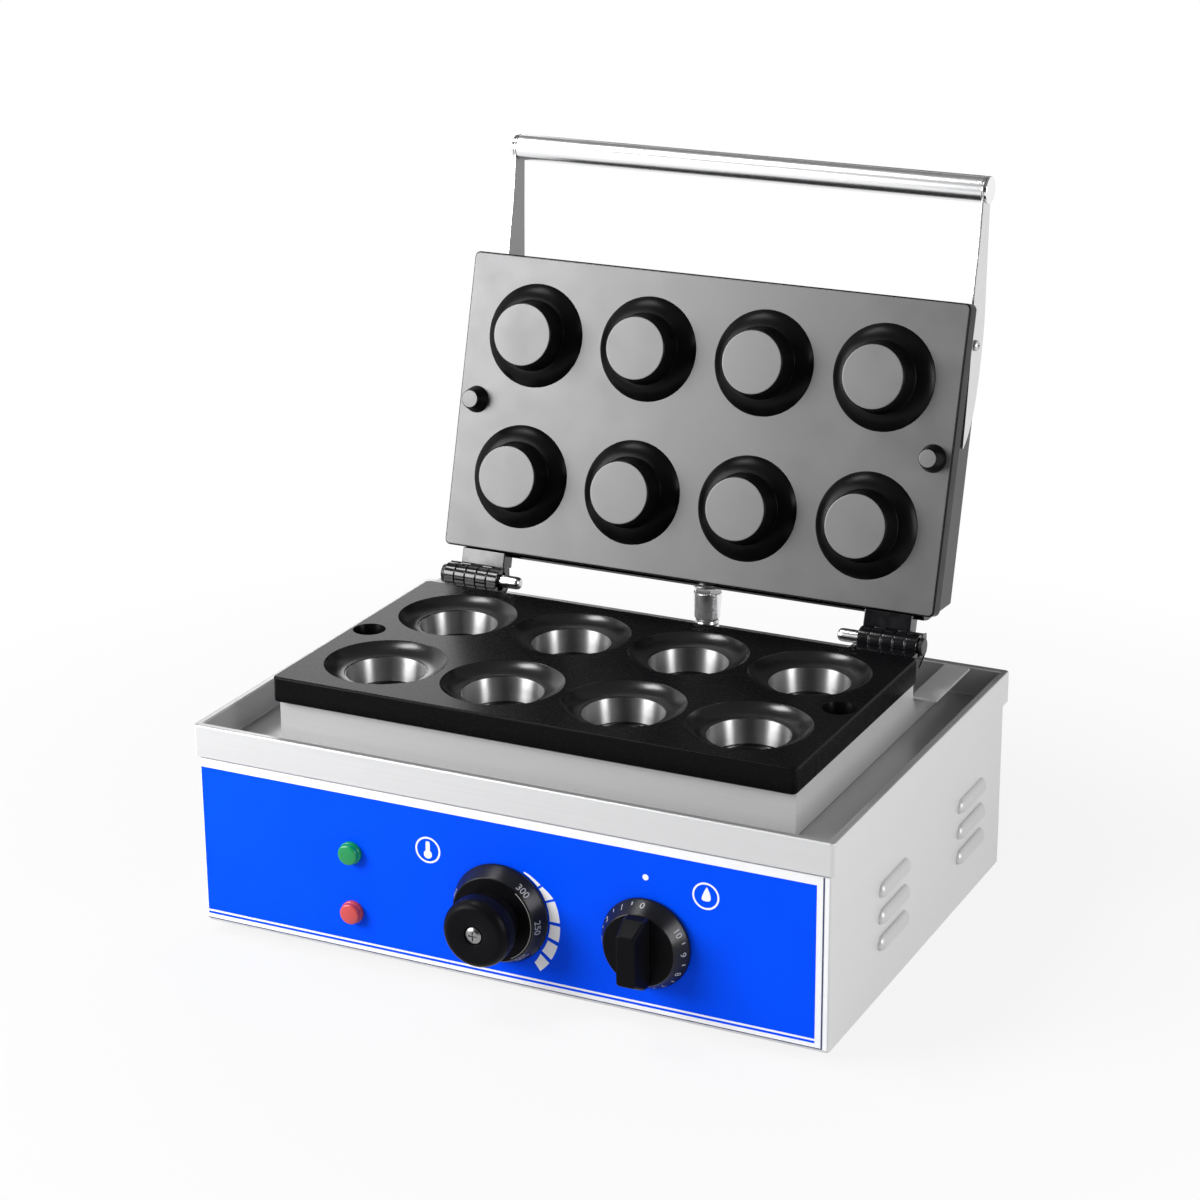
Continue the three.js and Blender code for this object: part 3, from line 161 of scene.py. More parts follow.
def lathe(profile, steps=96):
    """A profile of (radius, height), turned round local z. It closes on itself or ends on the axis."""
    angles = [2 * math.pi * k / steps for k in range(steps)]
    turns = [(math.cos(angle), math.sin(angle)) for angle in angles]
    loops = [[(r * c, r * s, z) for c, s in turns] for r, z in profile]
    shape = loft(loops, closed=profile[0][0] > 0, capped=False)
    bmesh.ops.remove_doubles(shape, verts=shape.verts, dist=WELD)
    bmesh.ops.recalc_face_normals(shape, faces=shape.faces)
    return shape


def rectangle(x0, x1, y0, y1, z, radius, steps=6):
    """A ring with rounded corners, level at height z."""
    corners = ((x1 - radius, y0 + radius, -90), (x1 - radius, y1 - radius, 0),
               (x0 + radius, y1 - radius, 90), (x0 + radius, y0 + radius, 180))
    return [(cx + radius * math.cos(a), cy + radius * math.sin(a), z) for cx, cy, start in corners
            for a in (math.radians(start + 90 * k / steps) for k in range(steps + 1))]


def prism(outline, low, high):
    return loft([[(a, b, c) for a, b in outline] for c in (low, high)])


def block(x0, x1, y0, y1, z0, z1):
    return prism([(x0, y0), (x1, y0), (x1, y1), (x0, y1)], z0, z1)


def rod(radius, low, high, steps=48, edge=0.0):
    if edge:
        return lathe(eased([(0, low), (radius, low, edge), (radius, high, edge), (0, high)], 3), steps)
    return lathe([(0, low), (radius, low), (radius, high), (0, high)], steps)


def circle(x, y, radius, steps=48):
    return [(x + radius * math.cos(2 * math.pi * k / steps), y + radius * math.sin(2 * math.pi * k / steps))
            for k in range(steps)]


def moved(shape, matrix):
    shape.transform(matrix)
    if matrix.to_3x3().determinant() < 0:
        bmesh.ops.reverse_faces(shape, faces=shape.faces)
    return shape


def joined(*shapes):
    """One mesh of all the shapes, which are used up."""
    whole = bmesh.new()
    for shape in shapes:
        mesh = bpy.data.meshes.new("part")
        shape.to_mesh(mesh)
        shape.free()
        whole.from_mesh(mesh)
        bpy.data.meshes.remove(mesh)
    return whole


def repeated(shape, places):
    whole = joined(*(moved(shape.copy(), place) for place in places))
    shape.free()
    return whole


def chamfer(shape, width, above=30):
    """Corners sharper than above, in degrees, are broken."""
    edges = [edge for edge in shape.edges
             if len(edge.link_faces) == 2 and edge.calc_face_angle(0) > math.radians(above)]
    bmesh.ops.bevel(shape, geom=edges, offset=width, segments=2, profile=0.5, affect="EDGES",
                    clamp_overlap=True)
    return shape


def boolean(body, tool, operation="DIFFERENCE"):
    """The body less the tool, or with it; both are used up."""
    objects = []
    for shape in (body, tool):
        mesh = bpy.data.meshes.new("part")
        shape.to_mesh(mesh)
        shape.free()
        objects.append(bpy.data.objects.new("part", mesh))
        bpy.context.scene.collection.objects.link(objects[-1])
    step = objects[0].modifiers.new("step", "BOOLEAN")
    step.object, step.operation, step.solver = objects[1], operation, "EXACT"
    result = bmesh.new()
    result.from_object(objects[0], bpy.context.evaluated_depsgraph_get())
    for spare in objects:
        mesh = spare.data
        bpy.data.objects.remove(spare)
        bpy.data.meshes.remove(mesh)
    return result


def lettering(words, height, thick=0.2):
    """Solid figures, centred on the local z axis."""
    curve = bpy.data.curves.new("words", "FONT")
    curve.body, curve.size, curve.extrude = words, height, thick / 2
    curve.align_x = curve.align_y = "CENTER"
    holder = bpy.data.objects.new("words", curve)
    bpy.context.scene.collection.objects.link(holder)
    mesh = bpy.data.meshes.new_from_object(holder.evaluated_get(bpy.context.evaluated_depsgraph_get()))
    shape = bmesh.new()
    shape.from_mesh(mesh)
    bmesh.ops.remove_doubles(shape, verts=shape.verts, dist=WELD)
    bpy.data.objects.remove(holder)
    bpy.data.curves.remove(curve)
    bpy.data.meshes.remove(mesh)
    return shape


# Materials

NOISE_LOW, NOISE_HIGH = 0.3, 0.7


def even(scale):
    return (scale, scale, scale)


def ranged(nodes, links, value, before, after):
    """A value's range before, as (low, high), is stretched to the range after."""
    node = nodes.new("ShaderNodeMapRange")
    for socket, number in zip(("From Min", "From Max", "To Min", "To Max"), (*before, *after)):
        node.inputs[socket].default_value = number
    links.new(value, node.inputs["Value"])
    return node.outputs["Result"]


def material(name, color, rough, metal=0.0, streak=even(60), tint=0.06, spread=0.06, bump=0.02, depth=0.2,
             specular=0.5, turned=False):
    """A finish whose colour, roughness and relief vary with a noise.

    The noise's scale is streak. It varies the colour by the share tint and the roughness by spread, and it
    raises a relief of the strength bump and of depth millimetres. On a turned finish, fine grooves run round
    the piece's upright middle and spread its highlights upwards.
    """
    made = bpy.data.materials.new(name)
    made.use_nodes = True
    nodes, links = made.node_tree.nodes, made.node_tree.links
    shader = nodes["Principled BSDF"]
    shader.inputs["Metallic"].default_value = metal
    shader.inputs["Specular IOR Level"].default_value = specular
    where = nodes.new("ShaderNodeTexCoord")
    mapping = nodes.new("ShaderNodeMapping")
    mapping.inputs["Scale"].default_value = streak
    noise = nodes.new("ShaderNodeTexNoise")
    noise.inputs["Scale"].default_value = 1
    noise.inputs["Detail"].default_value = 4
    links.new(where.outputs["Object"], mapping.inputs["Vector"])
    links.new(mapping.outputs["Vector"], noise.inputs["Vector"])
    ramp = nodes.new("ShaderNodeValToRGB")
    stops = ((NOISE_LOW, 1 - tint), (NOISE_HIGH, 1 + tint))
    for element, (position, share) in zip(ramp.color_ramp.elements, stops):
        element.color = (*(min(c * share, 1) for c in color), 1)
        element.position = position
    links.new(noise.outputs["Fac"], ramp.inputs["Fac"])
    links.new(ramp.outputs["Color"], shader.inputs["Base Color"])
    roughness = ranged(nodes, links, noise.outputs["Fac"], (NOISE_LOW, NOISE_HIGH),
                       (max(rough - spread, 0.02), rough + spread))
    links.new(roughness, shader.inputs["Roughness"])
    relief = nodes.new("ShaderNodeBump")
    relief.inputs["Strength"].default_value = bump
    relief.inputs["Distance"].default_value = depth * MM
    links.new(noise.outputs["Fac"], relief.inputs["Height"])
    links.new(relief.outputs["Normal"], shader.inputs["Normal"])
    if turned:
        round_axis = nodes.new("ShaderNodeTangent")
        round_axis.direction_type, round_axis.axis = "RADIAL", "Z"
        links.new(round_axis.outputs["Tangent"], shader.inputs["Tangent"])
        shader.inputs["Anisotropic"].default_value = 0.9
        shader.inputs["Anisotropic Rotation"].default_value = 0.25
    return made


STREAK_X = (4, 500, 500)
STREAK_Y = (500, 4, 500)
STEEL = (0.64, 0.64, 0.645)
BRUSHED = dict(metal=0.25, spread=0.04, bump=0.015, depth=0.05)
steel_x = material("brushed_steel", STEEL, 0.36, streak=STREAK_X, tint=0.02, **BRUSHED)
steel_y = material("brushed_steel_side", STEEL, 0.36, streak=STREAK_Y, tint=0.02, **BRUSHED)
# The louvre hoods take a darker copy of the walls' steel: painted shade.
hood_shaded_steel = material("louvre_painted_shade", (0.55, 0.55, 0.555), 0.38, streak=STREAK_Y, tint=0.03, **BRUSHED)
# The tray's inside and its upward faces take this darker, more metallic copy of the walls' steel: painted
# shade.
tray_shaded_steel = material("tray_shaded_steel", (0.42, 0.42, 0.425), 0.34, metal=0.6, streak=STREAK_X, tint=0.03,
                      spread=0.05, bump=0.015, depth=0.05)
cup_wall = material("cup_wall", even(0.5), 0.36, metal=1, streak=(12, 12, 400), tint=0.03, spread=0.03,
                    bump=0.01, depth=0.02, turned=True)

STREAK_ROD = (30, 200, 200)
# The arms' inner faces take this darker copy of their steel: painted shade.
shaded_arm_steel = material("shaded_arm_steel", (0.25, 0.25, 0.255), 0.34, metal=0.8, streak=STREAK_ROD, tint=0.04,
                     spread=0.05)
satin_steel = material("satin_steel", even(0.66), 0.24, metal=1, streak=STREAK_ROD, tint=0.04, spread=0.05)
handle_chrome = material("handle_chrome", (0.86, 0.86, 0.87), 0.27, metal=1, streak=(8, 200, 200), tint=0.02,
                         spread=0.015, bump=0.004)
chrome = material("chrome", (0.86, 0.86, 0.87), 0.07, metal=1, streak=even(20), tint=0.01, spread=0.02,
                  bump=0.01)
zinc = material("zinc_plate", (0.55, 0.55, 0.54), 0.42, metal=1, streak=even(90), tint=0.08, spread=0.08)
screw_grey = material("screw_grey", even(0.3), 0.3, metal=1, streak=even(90), tint=0.08, spread=0.08)
copper = material("copper", (0.72, 0.35, 0.2), 0.28, metal=1, spread=0.05)

die_gloss = material("die_gloss", (0.003, 0.003, 0.0035), 0.27, streak=even(300), tint=0.1, spread=0.01,
                     depth=0.03, specular=0.06)
cup_flare = material("cup_flare", even(0.004), 0.24, tint=0.2, spread=0.03, bump=0.03, specular=0.6)
die_satin = material("die_satin", (0.115, 0.115, 0.117), 0.38, metal=0.5, streak=even(40), tint=0.05,
                     spread=0.04)
punch_black = material("punch_black", even(0.003), 0.3, tint=0.2, spread=0.04, specular=0.08)
punch_face = material("punch_face", (0.135, 0.135, 0.137), 0.42, metal=0.45, streak=even(50), tint=0.05,
                      spread=0.04)
black_enamel = material("black_enamel", (0.012, 0.012, 0.013), 0.32, streak=even(400), tint=0.1, spread=0.02,
                        bump=0.03, depth=0.03, specular=0.3)
hinge_black = material("hinge_black", (0.004, 0.004, 0.005), 0.14, streak=even(90), tint=0.1, spread=0.05,
                       bump=0.05)

INK = dict(streak=even(80), spread=0.04, bump=0.01)
print_white = material("print_white", (0.93, 0.935, 0.95), 0.4, tint=0.02, **INK)
print_dark = material("print_dark", (0.03, 0.04, 0.12), 0.4, tint=0.05, **INK)
print_grey = material("print_grey", (0.34, 0.34, 0.33), 0.4, tint=0.05, **INK)
panel_blue = material("panel_blue", (0, 0.075, 0.95), 0.42, streak=even(25), tint=0.03, spread=0.04,
                      bump=0.01, specular=0.04)

KNOB = dict(streak=even(90), tint=0.1, spread=0.05, bump=0.03)
LENS = dict(streak=even(90), tint=0.05, spread=0.03)
black_gloss = material("black_gloss_plastic", (0.004, 0.004, 0.005), 0.36, specular=0.05, **KNOB)
# A lit copy of the knobs' black plastic, shinier and a little lighter, for their cones: painted light.
lit_knob_plastic = material("lit_knob_plastic", even(0.006), 0.32, specular=0.25, **KNOB)
green_lens = material("green_lens", (0.002, 0.25, 0.07), 0.25, **LENS)
red_lens = material("red_lens", (0.55, 0.06, 0.06), 0.25, **LENS)
black_plastic = material("black_plastic", (0.014, 0.014, 0.015), 0.42, streak=even(160), tint=0.1, bump=0.06)
rubber = material("rubber", even(0.02), 0.8, streak=even(200), tint=0.15, spread=0.08, bump=0.15)
wool = material("mineral_wool", (0.62, 0.55, 0.38), 0.95, streak=even(300), tint=0.2, spread=0.04, bump=0.6,
                depth=0.6)
ceramic = material("ceramic", (0.75, 0.72, 0.65), 0.5, streak=even(120), tint=0.05, bump=0.05)


# Pieces

SMOOTH_BELOW = 32


def piece(name, shape, place, body, finish, slot, replaces=(), others=(), pick=None, smooth=SMOOTH_BELOW):
    """A mesh piece. Where pick is given, it says which of the finishes a face of the shape takes.

    Corners flatter than smooth, in degrees, are shaded smooth.
    """
    if pick:
        shape.normal_update()
        for face in shape.faces:
            face.material_index = pick(face)
    moved(shape, place)
    mesh = bpy.data.meshes.new(name)
    shape.to_mesh(mesh)
    shape.free()
    mesh.polygons.foreach_set("use_smooth", [True] * len(mesh.polygons))
    mesh.set_sharp_from_angle(angle=math.radians(smooth))
    for one in (finish, *others):
        mesh.materials.append(one)
    made = bpy.data.objects.new(name, mesh)
    bpy.context.scene.collection.objects.link(made)
    made.modifiers.new("normals", "WEIGHTED_NORMAL").keep_sharp = True
    if body:
        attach(made, body)
    if replaces:
        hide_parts(*replaces)
    return made


def remake(node, *parts, **options):
    """A piece that stands for one CAD node and is named after it."""
    return piece(f"{node}_dressed", *parts, replaces=[node], **options)


def dress(finish, *names, edge=0.0, merged=True):
    """A CAD node that stays gets its finish, and where edge is given its corners are broken.

    Its flat triangles are merged first, unless a plate with holes needs them.
    """
    for name in names:
        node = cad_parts[name]
        for holder in node.material_slots:
            holder.material = finish
        if edge:
            node.modifiers.new("weld", "WELD").merge_threshold = 0.01 * MM
            if merged:
                flat = node.modifiers.new("flat", "DECIMATE")
                flat.decimate_type, flat.angle_limit = "DISSOLVE", math.radians(1)
            bevel = node.modifiers.new("edge", "BEVEL")
            bevel.width, bevel.segments, bevel.limit_method = edge * MM, 2, "ANGLE"
            bevel.angle_limit = math.radians(SMOOTH_BELOW)
            node.modifiers.new("normals", "WEIGHTED_NORMAL").keep_sharp = True


def faces_side(face):
    return int(abs(face.normal.x) > 0.7)


# Fasteners. Each head stands on local z = 0

PAN_HEAD = (3.8, 2.2)
GRIP_HEAD = (5.6, 2.4)
CONTROL_HEAD = (2.6, 1.5)
TERMINAL_HEAD = (3.4, 2)
CLAMP_HEAD = (4.2, 3, 1.8)
HINGE_HEAD = (2.8, 3.2, 1.4)
SLOT_HALF = 0.45


def cross_head(radius, height):
    """A domed head with a cross recess."""
    head = lathe(eased([(0, 0), (radius, 0), (radius, height * 0.5, 0.5), (radius * 0.6, height, 0.8),
                        (0, height)]), steps=40)
    reach, low = radius * 0.55, height * 0.35
    for across, wide in ((reach, SLOT_HALF), (SLOT_HALF, reach)):
        head = boolean(head, block(-across, across, -wide, wide, low, height + 1))
    return head


def socket_head(radius, height, key):
    """A round head with a six-sided recess of the radius key."""
    head = lathe(eased([(0, 0), (radius, 0), (radius, height, 0.5), (0, height)]), steps=40)
    return boolean(head, prism(circle(0, 0, key, steps=6), height * 0.4, height + 1))


def fasteners(name, head, spots, place, body):
    """Alike heads in one piece: each stands at its spot, and the place turns the spots into metres."""
    piece(name, repeated(head, spots), place, body, zinc, "zinc_steel")


# Housing: side walls with louvres

SHELL_X, SHELL_Y = 222.3, 155.5
SHELL_FOOT, SHELL_TOP = 8, 146.9
FLANGE_REACH, FLANGE_Z = 15.2, 9.5
LOUVRE_RADIUS, LOUVRE_STRAIGHT, LOUVRE_PROUD = 6, 38, 4
LOUVRE_MOUTH, LOUVRE_CUT = 3, 40
LOUVRE_LOW, LOUVRE_PITCH, LOUVRE_COLUMNS = 44, 18.3, (-50, 93)
LOUVRES = [(side * SHELL_X, y, LOUVRE_LOW + LOUVRE_PITCH * row) for _, side in SIDES for y in LOUVRE_COLUMNS
           for row in range(3)]
OUTLET_HOLE, OUTLET_CUT = 7.3, (150, 160)
PAN_SCREW_X, PAN_SCREW_Y = 214.1, 147.3


def capsule(shrink, x, y, z):
    """A louvre's pressed form, or the hollow in it, which is smaller by shrink."""
    radius, half = LOUVRE_RADIUS - shrink, LOUVRE_STRAIGHT / 2
    angles = [math.radians(degrees) for degrees in range(0, 91, 10)]
    arc = [(radius * math.sin(a), -radius * math.cos(a)) for a in angles]
    form = lathe([(r, z0 - half) for r, z0 in arc] + [(r, half - z0) for r, z0 in reversed(arc)], steps=40)
    flattened = Matrix.Diagonal(((LOUVRE_PROUD - shrink) / radius, 1, 1, 1))
    for step in (QUARTER_TURN, flattened, at((x, y, z))):
        form.transform(step)
    return form


def louvre_hood(x, y, z):
    """The pressed form, hollow, open at its lower side, and cut off at the wall's inner face."""
    reach, front, rear = 2 * LOUVRE_RADIUS, y - LOUVRE_CUT, y + LOUVRE_CUT
    hood = boolean(capsule(0, x, y, z), capsule(SHEET, x, y, z))
    hood = boolean(hood, block(x - reach, x + reach, front, rear, z - reach, z - LOUVRE_MOUTH))
    outward = math.copysign(1, x)
    inner = x - outward * SHEET
    near, far = sorted((inner, inner - outward * reach))
    return boolean(hood, block(near, far, front, rear, z - reach, z + reach))


def shell_level(inset, z, corner=0.8):
    return rectangle(-SHELL_X + inset, SHELL_X - inset, -SHELL_Y + inset, SHELL_Y - inset, z, corner)


walls = loft([
    shell_level(0, SHELL_FOOT, 2),
    shell_level(0, SHELL_TOP, 2),
    shell_level(SHEET, SHELL_TOP),
    shell_level(SHEET, FLANGE_Z + SHEET),
    shell_level(FLANGE_REACH, FLANGE_Z + SHEET),
    shell_level(FLANGE_REACH, FLANGE_Z),
    shell_level(1.8, FLANGE_Z),
    shell_level(1.4, SHELL_FOOT),
], closed=True)
outlet_hole = moved(rod(OUTLET_HOLE, *OUTLET_CUT), at((OUTLET_X, 0, OUTLET_Z)) @ REARWARDS)
walls = boolean(walls, joined(*(capsule(SHEET, *place) for place in LOUVRES), outlet_hole))
remake("body_shell", walls, BASE, "base", steel_x, "brushed_stainless", others=[steel_y], pick=faces_side)
# The hoods' darker steel is painted shade.
piece("louvre_hoods", joined(*(louvre_hood(*place) for place in LOUVRES)), BASE, "base", hood_shaded_steel,
      "brushed_stainless", ["body_shell"])

# Top tray: skirt, folded rim, inner walls and floor

SKIRT_FOOT, FOLD_Z, TRAY_FLOOR = 126.4, 147.2, 128
FOLD_RADIUS = 1.2
INNER_WALL = 5.4
WELL_OPENING = (-176.5, 176.5, -110.5, 77.5)
CONDUIT_HOLE, CONDUIT_CUT = 10.6, (120, 130)


def tray_level(inset, z):
    return rectangle(-RIM_X + inset, RIM_X - inset, -RIM_Y + inset, RIM_Y - inset, z, max(3 - inset, 1))


def fold(inset, start, end, steps=4):
    """Levels round a fold on the tray's rim. Its middle lies at inset; start and end are in degrees."""
    angles = [math.radians(start + (end - start) * k / steps) for k in range(steps + 1)]
    return [tray_level(inset - FOLD_RADIUS * math.cos(a), FOLD_Z + FOLD_RADIUS * math.sin(a))
            for a in angles]


# Inside the rim and on upward faces the sheet takes the darker steel, which is painted shade.
def tray_finish(face):
    middle = face.calc_center_median()
    edge = INNER_WALL - 0.1
    inside = abs(middle.x) < RIM_X - edge and abs(middle.y) < RIM_Y - edge
    return 2 if inside or face.normal.z > 0.7 else faces_side(face)


tray = loft([
    tray_level(SHEET, SKIRT_FOOT),
    tray_level(0.3, SKIRT_FOOT),
    tray_level(0, SKIRT_FOOT + 0.4),
    *fold(FOLD_RADIUS, 0, 90),
    *fold(INNER_WALL - FOLD_RADIUS, 90, 180),
    tray_level(INNER_WALL, TRAY_FLOOR + 1.5),
    tray_level(INNER_WALL + 0.4, TRAY_FLOOR + 0.4),
    tray_level(INNER_WALL + 1.5, TRAY_FLOOR),
    rectangle(*WELL_OPENING, TRAY_FLOOR, 1),
    rectangle(*WELL_OPENING, TRAY_FLOOR - SHEET, 1),
    tray_level(INNER_WALL - SHEET, TRAY_FLOOR - SHEET),
    tray_level(INNER_WALL - SHEET, FOLD_Z - 0.2),
    tray_level(SHEET, FOLD_Z - 0.2),
], closed=True)
tray = boolean(tray, moved(rod(CONDUIT_HOLE, *CONDUIT_CUT), at((CONDUIT_X, CONDUIT_Y, 0))))
remake("top_tray", tray, BASE, "base", steel_x, "brushed_stainless", others=[steel_y, tray_shaded_steel],
       pick=tray_finish)
dress(steel_x, "die_well", edge=0.5, merged=False)
dress(zinc, "bottom_pan", edge=0.3)
pan_spots = [at((x * PAN_SCREW_X, y * PAN_SCREW_Y, SHELL_FOOT)) @ DOWNWARDS
             for x in (-1, 1) for y in (-1, 0, 1)]
fasteners("pan_screws", cross_head(*PAN_HEAD), pan_spots, BASE, "base")

# Dies

CUP_PITCH, ROW_PITCH, REAR_ROW_Y = 87, 99.7, 31.4
CUPS = [((k - 1.5) * CUP_PITCH, REAR_ROW_Y - ROW_PITCH * row) for row in range(2) for k in range(4)]
CUP = dict(mouth=41, shoulder=27, flare_depth=6.5, foot=24.6, depth=26, foot_edge=3, mouth_edge=0.8,
           top=(41.6, 3))
PUNCH = dict(mouth=36.5, shoulder=24.6, flare_depth=6, foot=22.25, depth=22, foot_edge=1.4, mouth_edge=0.6,
             top=(36.5, 1.5))
SHOULDER_EDGE = 1.2
CUP_BOSS, BOSS_FOOT, BOSS_TOP = 31, 145.9, 174
CUP_WALL = ((24.85, -23), (26.82, -7), (27.2, -7), (25.2, -23))
UPPER_THICKNESS = 13.5
PIN_X, PIN_Y = 171.5, -18.9
PIN_HOLE = ((0, -12.6), (8, -12.6), (11.2, 0), (11.8, 0.4), (11.8, 3), (0, 3))
PIN = ((0, -11), (6.4, -11, 0.8), (9.6, -0.3, 0.4), (5, -0.3), (5, 5), (0, 5))
PLATE_CORNER, PLATE_EDGE = 4, 1.5


def plate(y0, y1, z0, z1, steps=4):
    """A die's plate, as wide as the dies are, with its edges rounded."""
    levels = []
    for k in range(steps + 1):
        a = math.pi / 2 * k / steps
        levels.append((PLATE_EDGE * (1 - math.sin(a)), z0 + PLATE_EDGE * (1 - math.cos(a))))
    levels += [(inset, z0 + z1 - z) for inset, z in reversed(levels)]
    return loft([rectangle(-DIE_X + inset, DIE_X - inset, y0 + inset, y1 - inset, z, PLATE_CORNER - inset)
                 for inset, z in levels])


def flare(outer, inner, depth, steps=14):
    """A dished ring: part of an ellipse, steep at the rim and nearly flat at the shoulder."""
    start, end = math.radians(35), math.radians(85)
    width, height = math.cos(start) - math.cos(end), math.sin(end) - math.sin(start)
    angles = [start + (end - start) * k / steps for k in range(steps + 1)]
    return [(inner + (outer - inner) * (math.cos(a) - math.cos(end)) / width,
             depth * (math.sin(a) - math.sin(start)) / height) for a in angles]


def flared_form(mouth, shoulder, flare_depth, foot, depth, foot_edge, mouth_edge, top):
    """The form of a cup's inside or of a punch, below its mouth at z = 0."""
    dish = [(r, -d) for r, d in reversed(flare(mouth, shoulder, flare_depth)[1:-1])]
    return lathe(eased([(0, -depth), (foot, -depth, foot_edge), (shoulder, -flare_depth, SHOULDER_EDGE),
                        *dish, (mouth, 0, mouth_edge), top, (0, top[1])]))


def cup_finish(face):
    middle = face.calc_center_median()
    away = min(math.hypot(middle.x - x, middle.y - y) for x, y in CUPS)
    return int(away < CUP["mouth"] - 0.1 and middle.z < DIE_TOP - 0.1)


def punch_finish(face):
    middle = face.calc_center_median()
    if middle.z > behind(-0.02):
        return int(face.normal.z > -0.9)
    return 2 if middle.z < behind(0.05 - PUNCH["depth"]) else 1


bosses = [moved(rod(CUP_BOSS, BOSS_FOOT, BOSS_TOP), at((x, y, 0))) for x, y in CUPS]
lower = boolean(plate(DIE_FRONT, DIE_REAR, DIE_BOTTOM, DIE_TOP), joined(*bosses), "UNION")
hollows = [moved(flared_form(**CUP), at((x, y, DIE_TOP))) for x, y in CUPS]
hollows += [moved(lathe(PIN_HOLE), at((side * PIN_X, PIN_Y, DIE_TOP))) for _, side in SIDES]
remake("lower_die", boolean(lower, joined(*hollows)), BASE, "base", die_gloss, "lower_nonstick",
       others=[cup_flare], pick=cup_finish)
for index, (x, y) in enumerate(CUPS, 1):
    piece(f"cup_wall_{index}", lathe(CUP_WALL), BASE @ at((x, y, DIE_TOP)), "base", cup_wall,
          "satin_stainless", ["lower_die"])

upper = plate(along(DIE_REAR - DIE_FRONT), along(0), behind(0), behind(UPPER_THICKNESS))
punches = joined(*(moved(flared_form(**PUNCH), at((x, along(DIE_REAR - y), behind(0)))) for x, y in CUPS))
remake("upper_die", boolean(upper, punches, "UNION"), LID, "lid", die_satin, "upper_nonstick",
       others=[punch_black, punch_face], pick=punch_finish)
for name, side in SIDES:
    pin_place = LID @ at((side * PIN_X, along(DIE_REAR - PIN_Y), behind(0)))
    remake(f"locating_pin_{name}", lathe(eased(PIN)), pin_place, "lid", punch_black, "upper_nonstick",
           others=[punch_face], pick=lambda face: int(face.normal.z < -0.95))

# Lid cover. Its back falls from its rear edge to its front edge

COVER_START, COVER_LENGTH, COVER_FALL, COVER_DEPTH = 5.5, 198.8, 3.5, 66
COVER_SCREW_X, COVER_SCREWS_ALONG = 148, (32, 177.3)


def on_cover(x, distance):
    depth = COVER_DEPTH - COVER_FALL * (distance - COVER_START) / COVER_LENGTH
    tilt = Matrix.Rotation(math.atan2(COVER_FALL, COVER_LENGTH), 4, "X")
    return at((x, along(distance), behind(depth))) @ tilt


dress(black_enamel, "lid_cover", edge=0.6)
cover_spots = [on_cover(side * COVER_SCREW_X, distance)
               for _, side in SIDES for distance in COVER_SCREWS_ALONG]
fasteners("cover_screws", cross_head(*PAN_HEAD), cover_spots, LID, "lid")

# Handle and its arms. The arms' outlines are (along, behind, radius)

HANDLE_ALONG, HANDLE_DEPTH = 286, 33
TUBE_RADIUS, TUBE_BORE, TUBE_END = 9.1, 7.6, 174.2
ARM_INNER_X, ARM_OUTER_X = 174.5, 176
ARM_SCREW_ALONG, ARM_SCREW_DEPTH = 182.3, 46
ROD_HOLE, SCREW_HOLE, ARM_CUT = 4.3, 2.3, (170, 180)
SCREW_SHANK, SHANK_START, SCREW_SEAT = 2, 168, 176.3
ARM_FRONT = ((-174, 46, 2), (-136, 43, 30), (-96, 37.5, 20), (-74, 31, 16), (-36, 30, 20), (-7, 26.3, 5))
ARM_REAR = ((-7, 40.3, 5), (-40, 48, 24), (-72, 56, 18), (-94, 61, 20), (-136, 62.5, 20), (-161, 57, 14),
            (-174, 47.5, 2))
ARM_END_ANGLE, ARM_END_STEPS = 130, 24
CAP = ((0, 168), (2, 168), (2, 176.3), (TUBE_RADIUS, 176.3), (TUBE_RADIUS, 177.9, 0.6), (0, 177.9))
HANDLE_SPOT = (along(HANDLE_ALONG), behind(HANDLE_DEPTH))
ARM_SCREW_SPOT = (along(ARM_SCREW_ALONG), behind(ARM_SCREW_DEPTH))

HANDLE = LID @ at((0, *HANDLE_SPOT))
tube = lathe(eased([(TUBE_BORE, -TUBE_END), (TUBE_RADIUS, -TUBE_END, 0.4), (TUBE_RADIUS, TUBE_END, 0.4),
                    (TUBE_BORE, TUBE_END)]))
remake("handle_tube", tube, HANDLE @ ALONG_X, "lid", handle_chrome, "chrome")
dress(satin_steel, "handle_rod")

arm_turns = [math.radians(ARM_END_ANGLE * (2 * k / ARM_END_STEPS - 1)) for k in range(ARM_END_STEPS + 1)]
arm_end = [(TUBE_RADIUS * math.cos(a), HANDLE_DEPTH + TUBE_RADIUS * math.sin(a)) for a in arm_turns]
arm_outline = [(along(HANDLE_ALONG + s), behind(d)) for s, d in eased([*ARM_FRONT, *arm_end, *ARM_REAR], 6)]
for name, side in SIDES:
    holes = joined(moved(rod(ROD_HOLE, *ARM_CUT), at((*HANDLE_SPOT, 0))),
                   moved(rod(SCREW_HOLE, *ARM_CUT), at((*ARM_SCREW_SPOT, 0))))
    arm = chamfer(boolean(prism(arm_outline, ARM_INNER_X, ARM_OUTER_X), holes), 0.25, above=60)
    # Each arm's inner face takes the darker steel: painted shade.
    remake(f"arm_{name}", arm, LID @ outwards(side), "lid", satin_steel, "satin_stainless",
           others=[shaded_arm_steel], pick=lambda face: int(face.normal.z < -0.5))
    remake(f"handle_cap_{name}", lathe(eased(CAP)), HANDLE @ outwards(side), "lid", chrome, "chrome")
    screw = joined(moved(cross_head(*PAN_HEAD), at((0, 0, SCREW_SEAT))),
                   rod(SCREW_SHANK, SHANK_START, SCREW_SEAT + 0.1, 24))
    screw_place = LID @ at((0, *ARM_SCREW_SPOT)) @ outwards(side)
    remake(f"arm_screw_{name}", screw, screw_place, "lid", zinc, "zinc_steel")

# Control panel and its prints. Each print is a thin layer on the panel's face

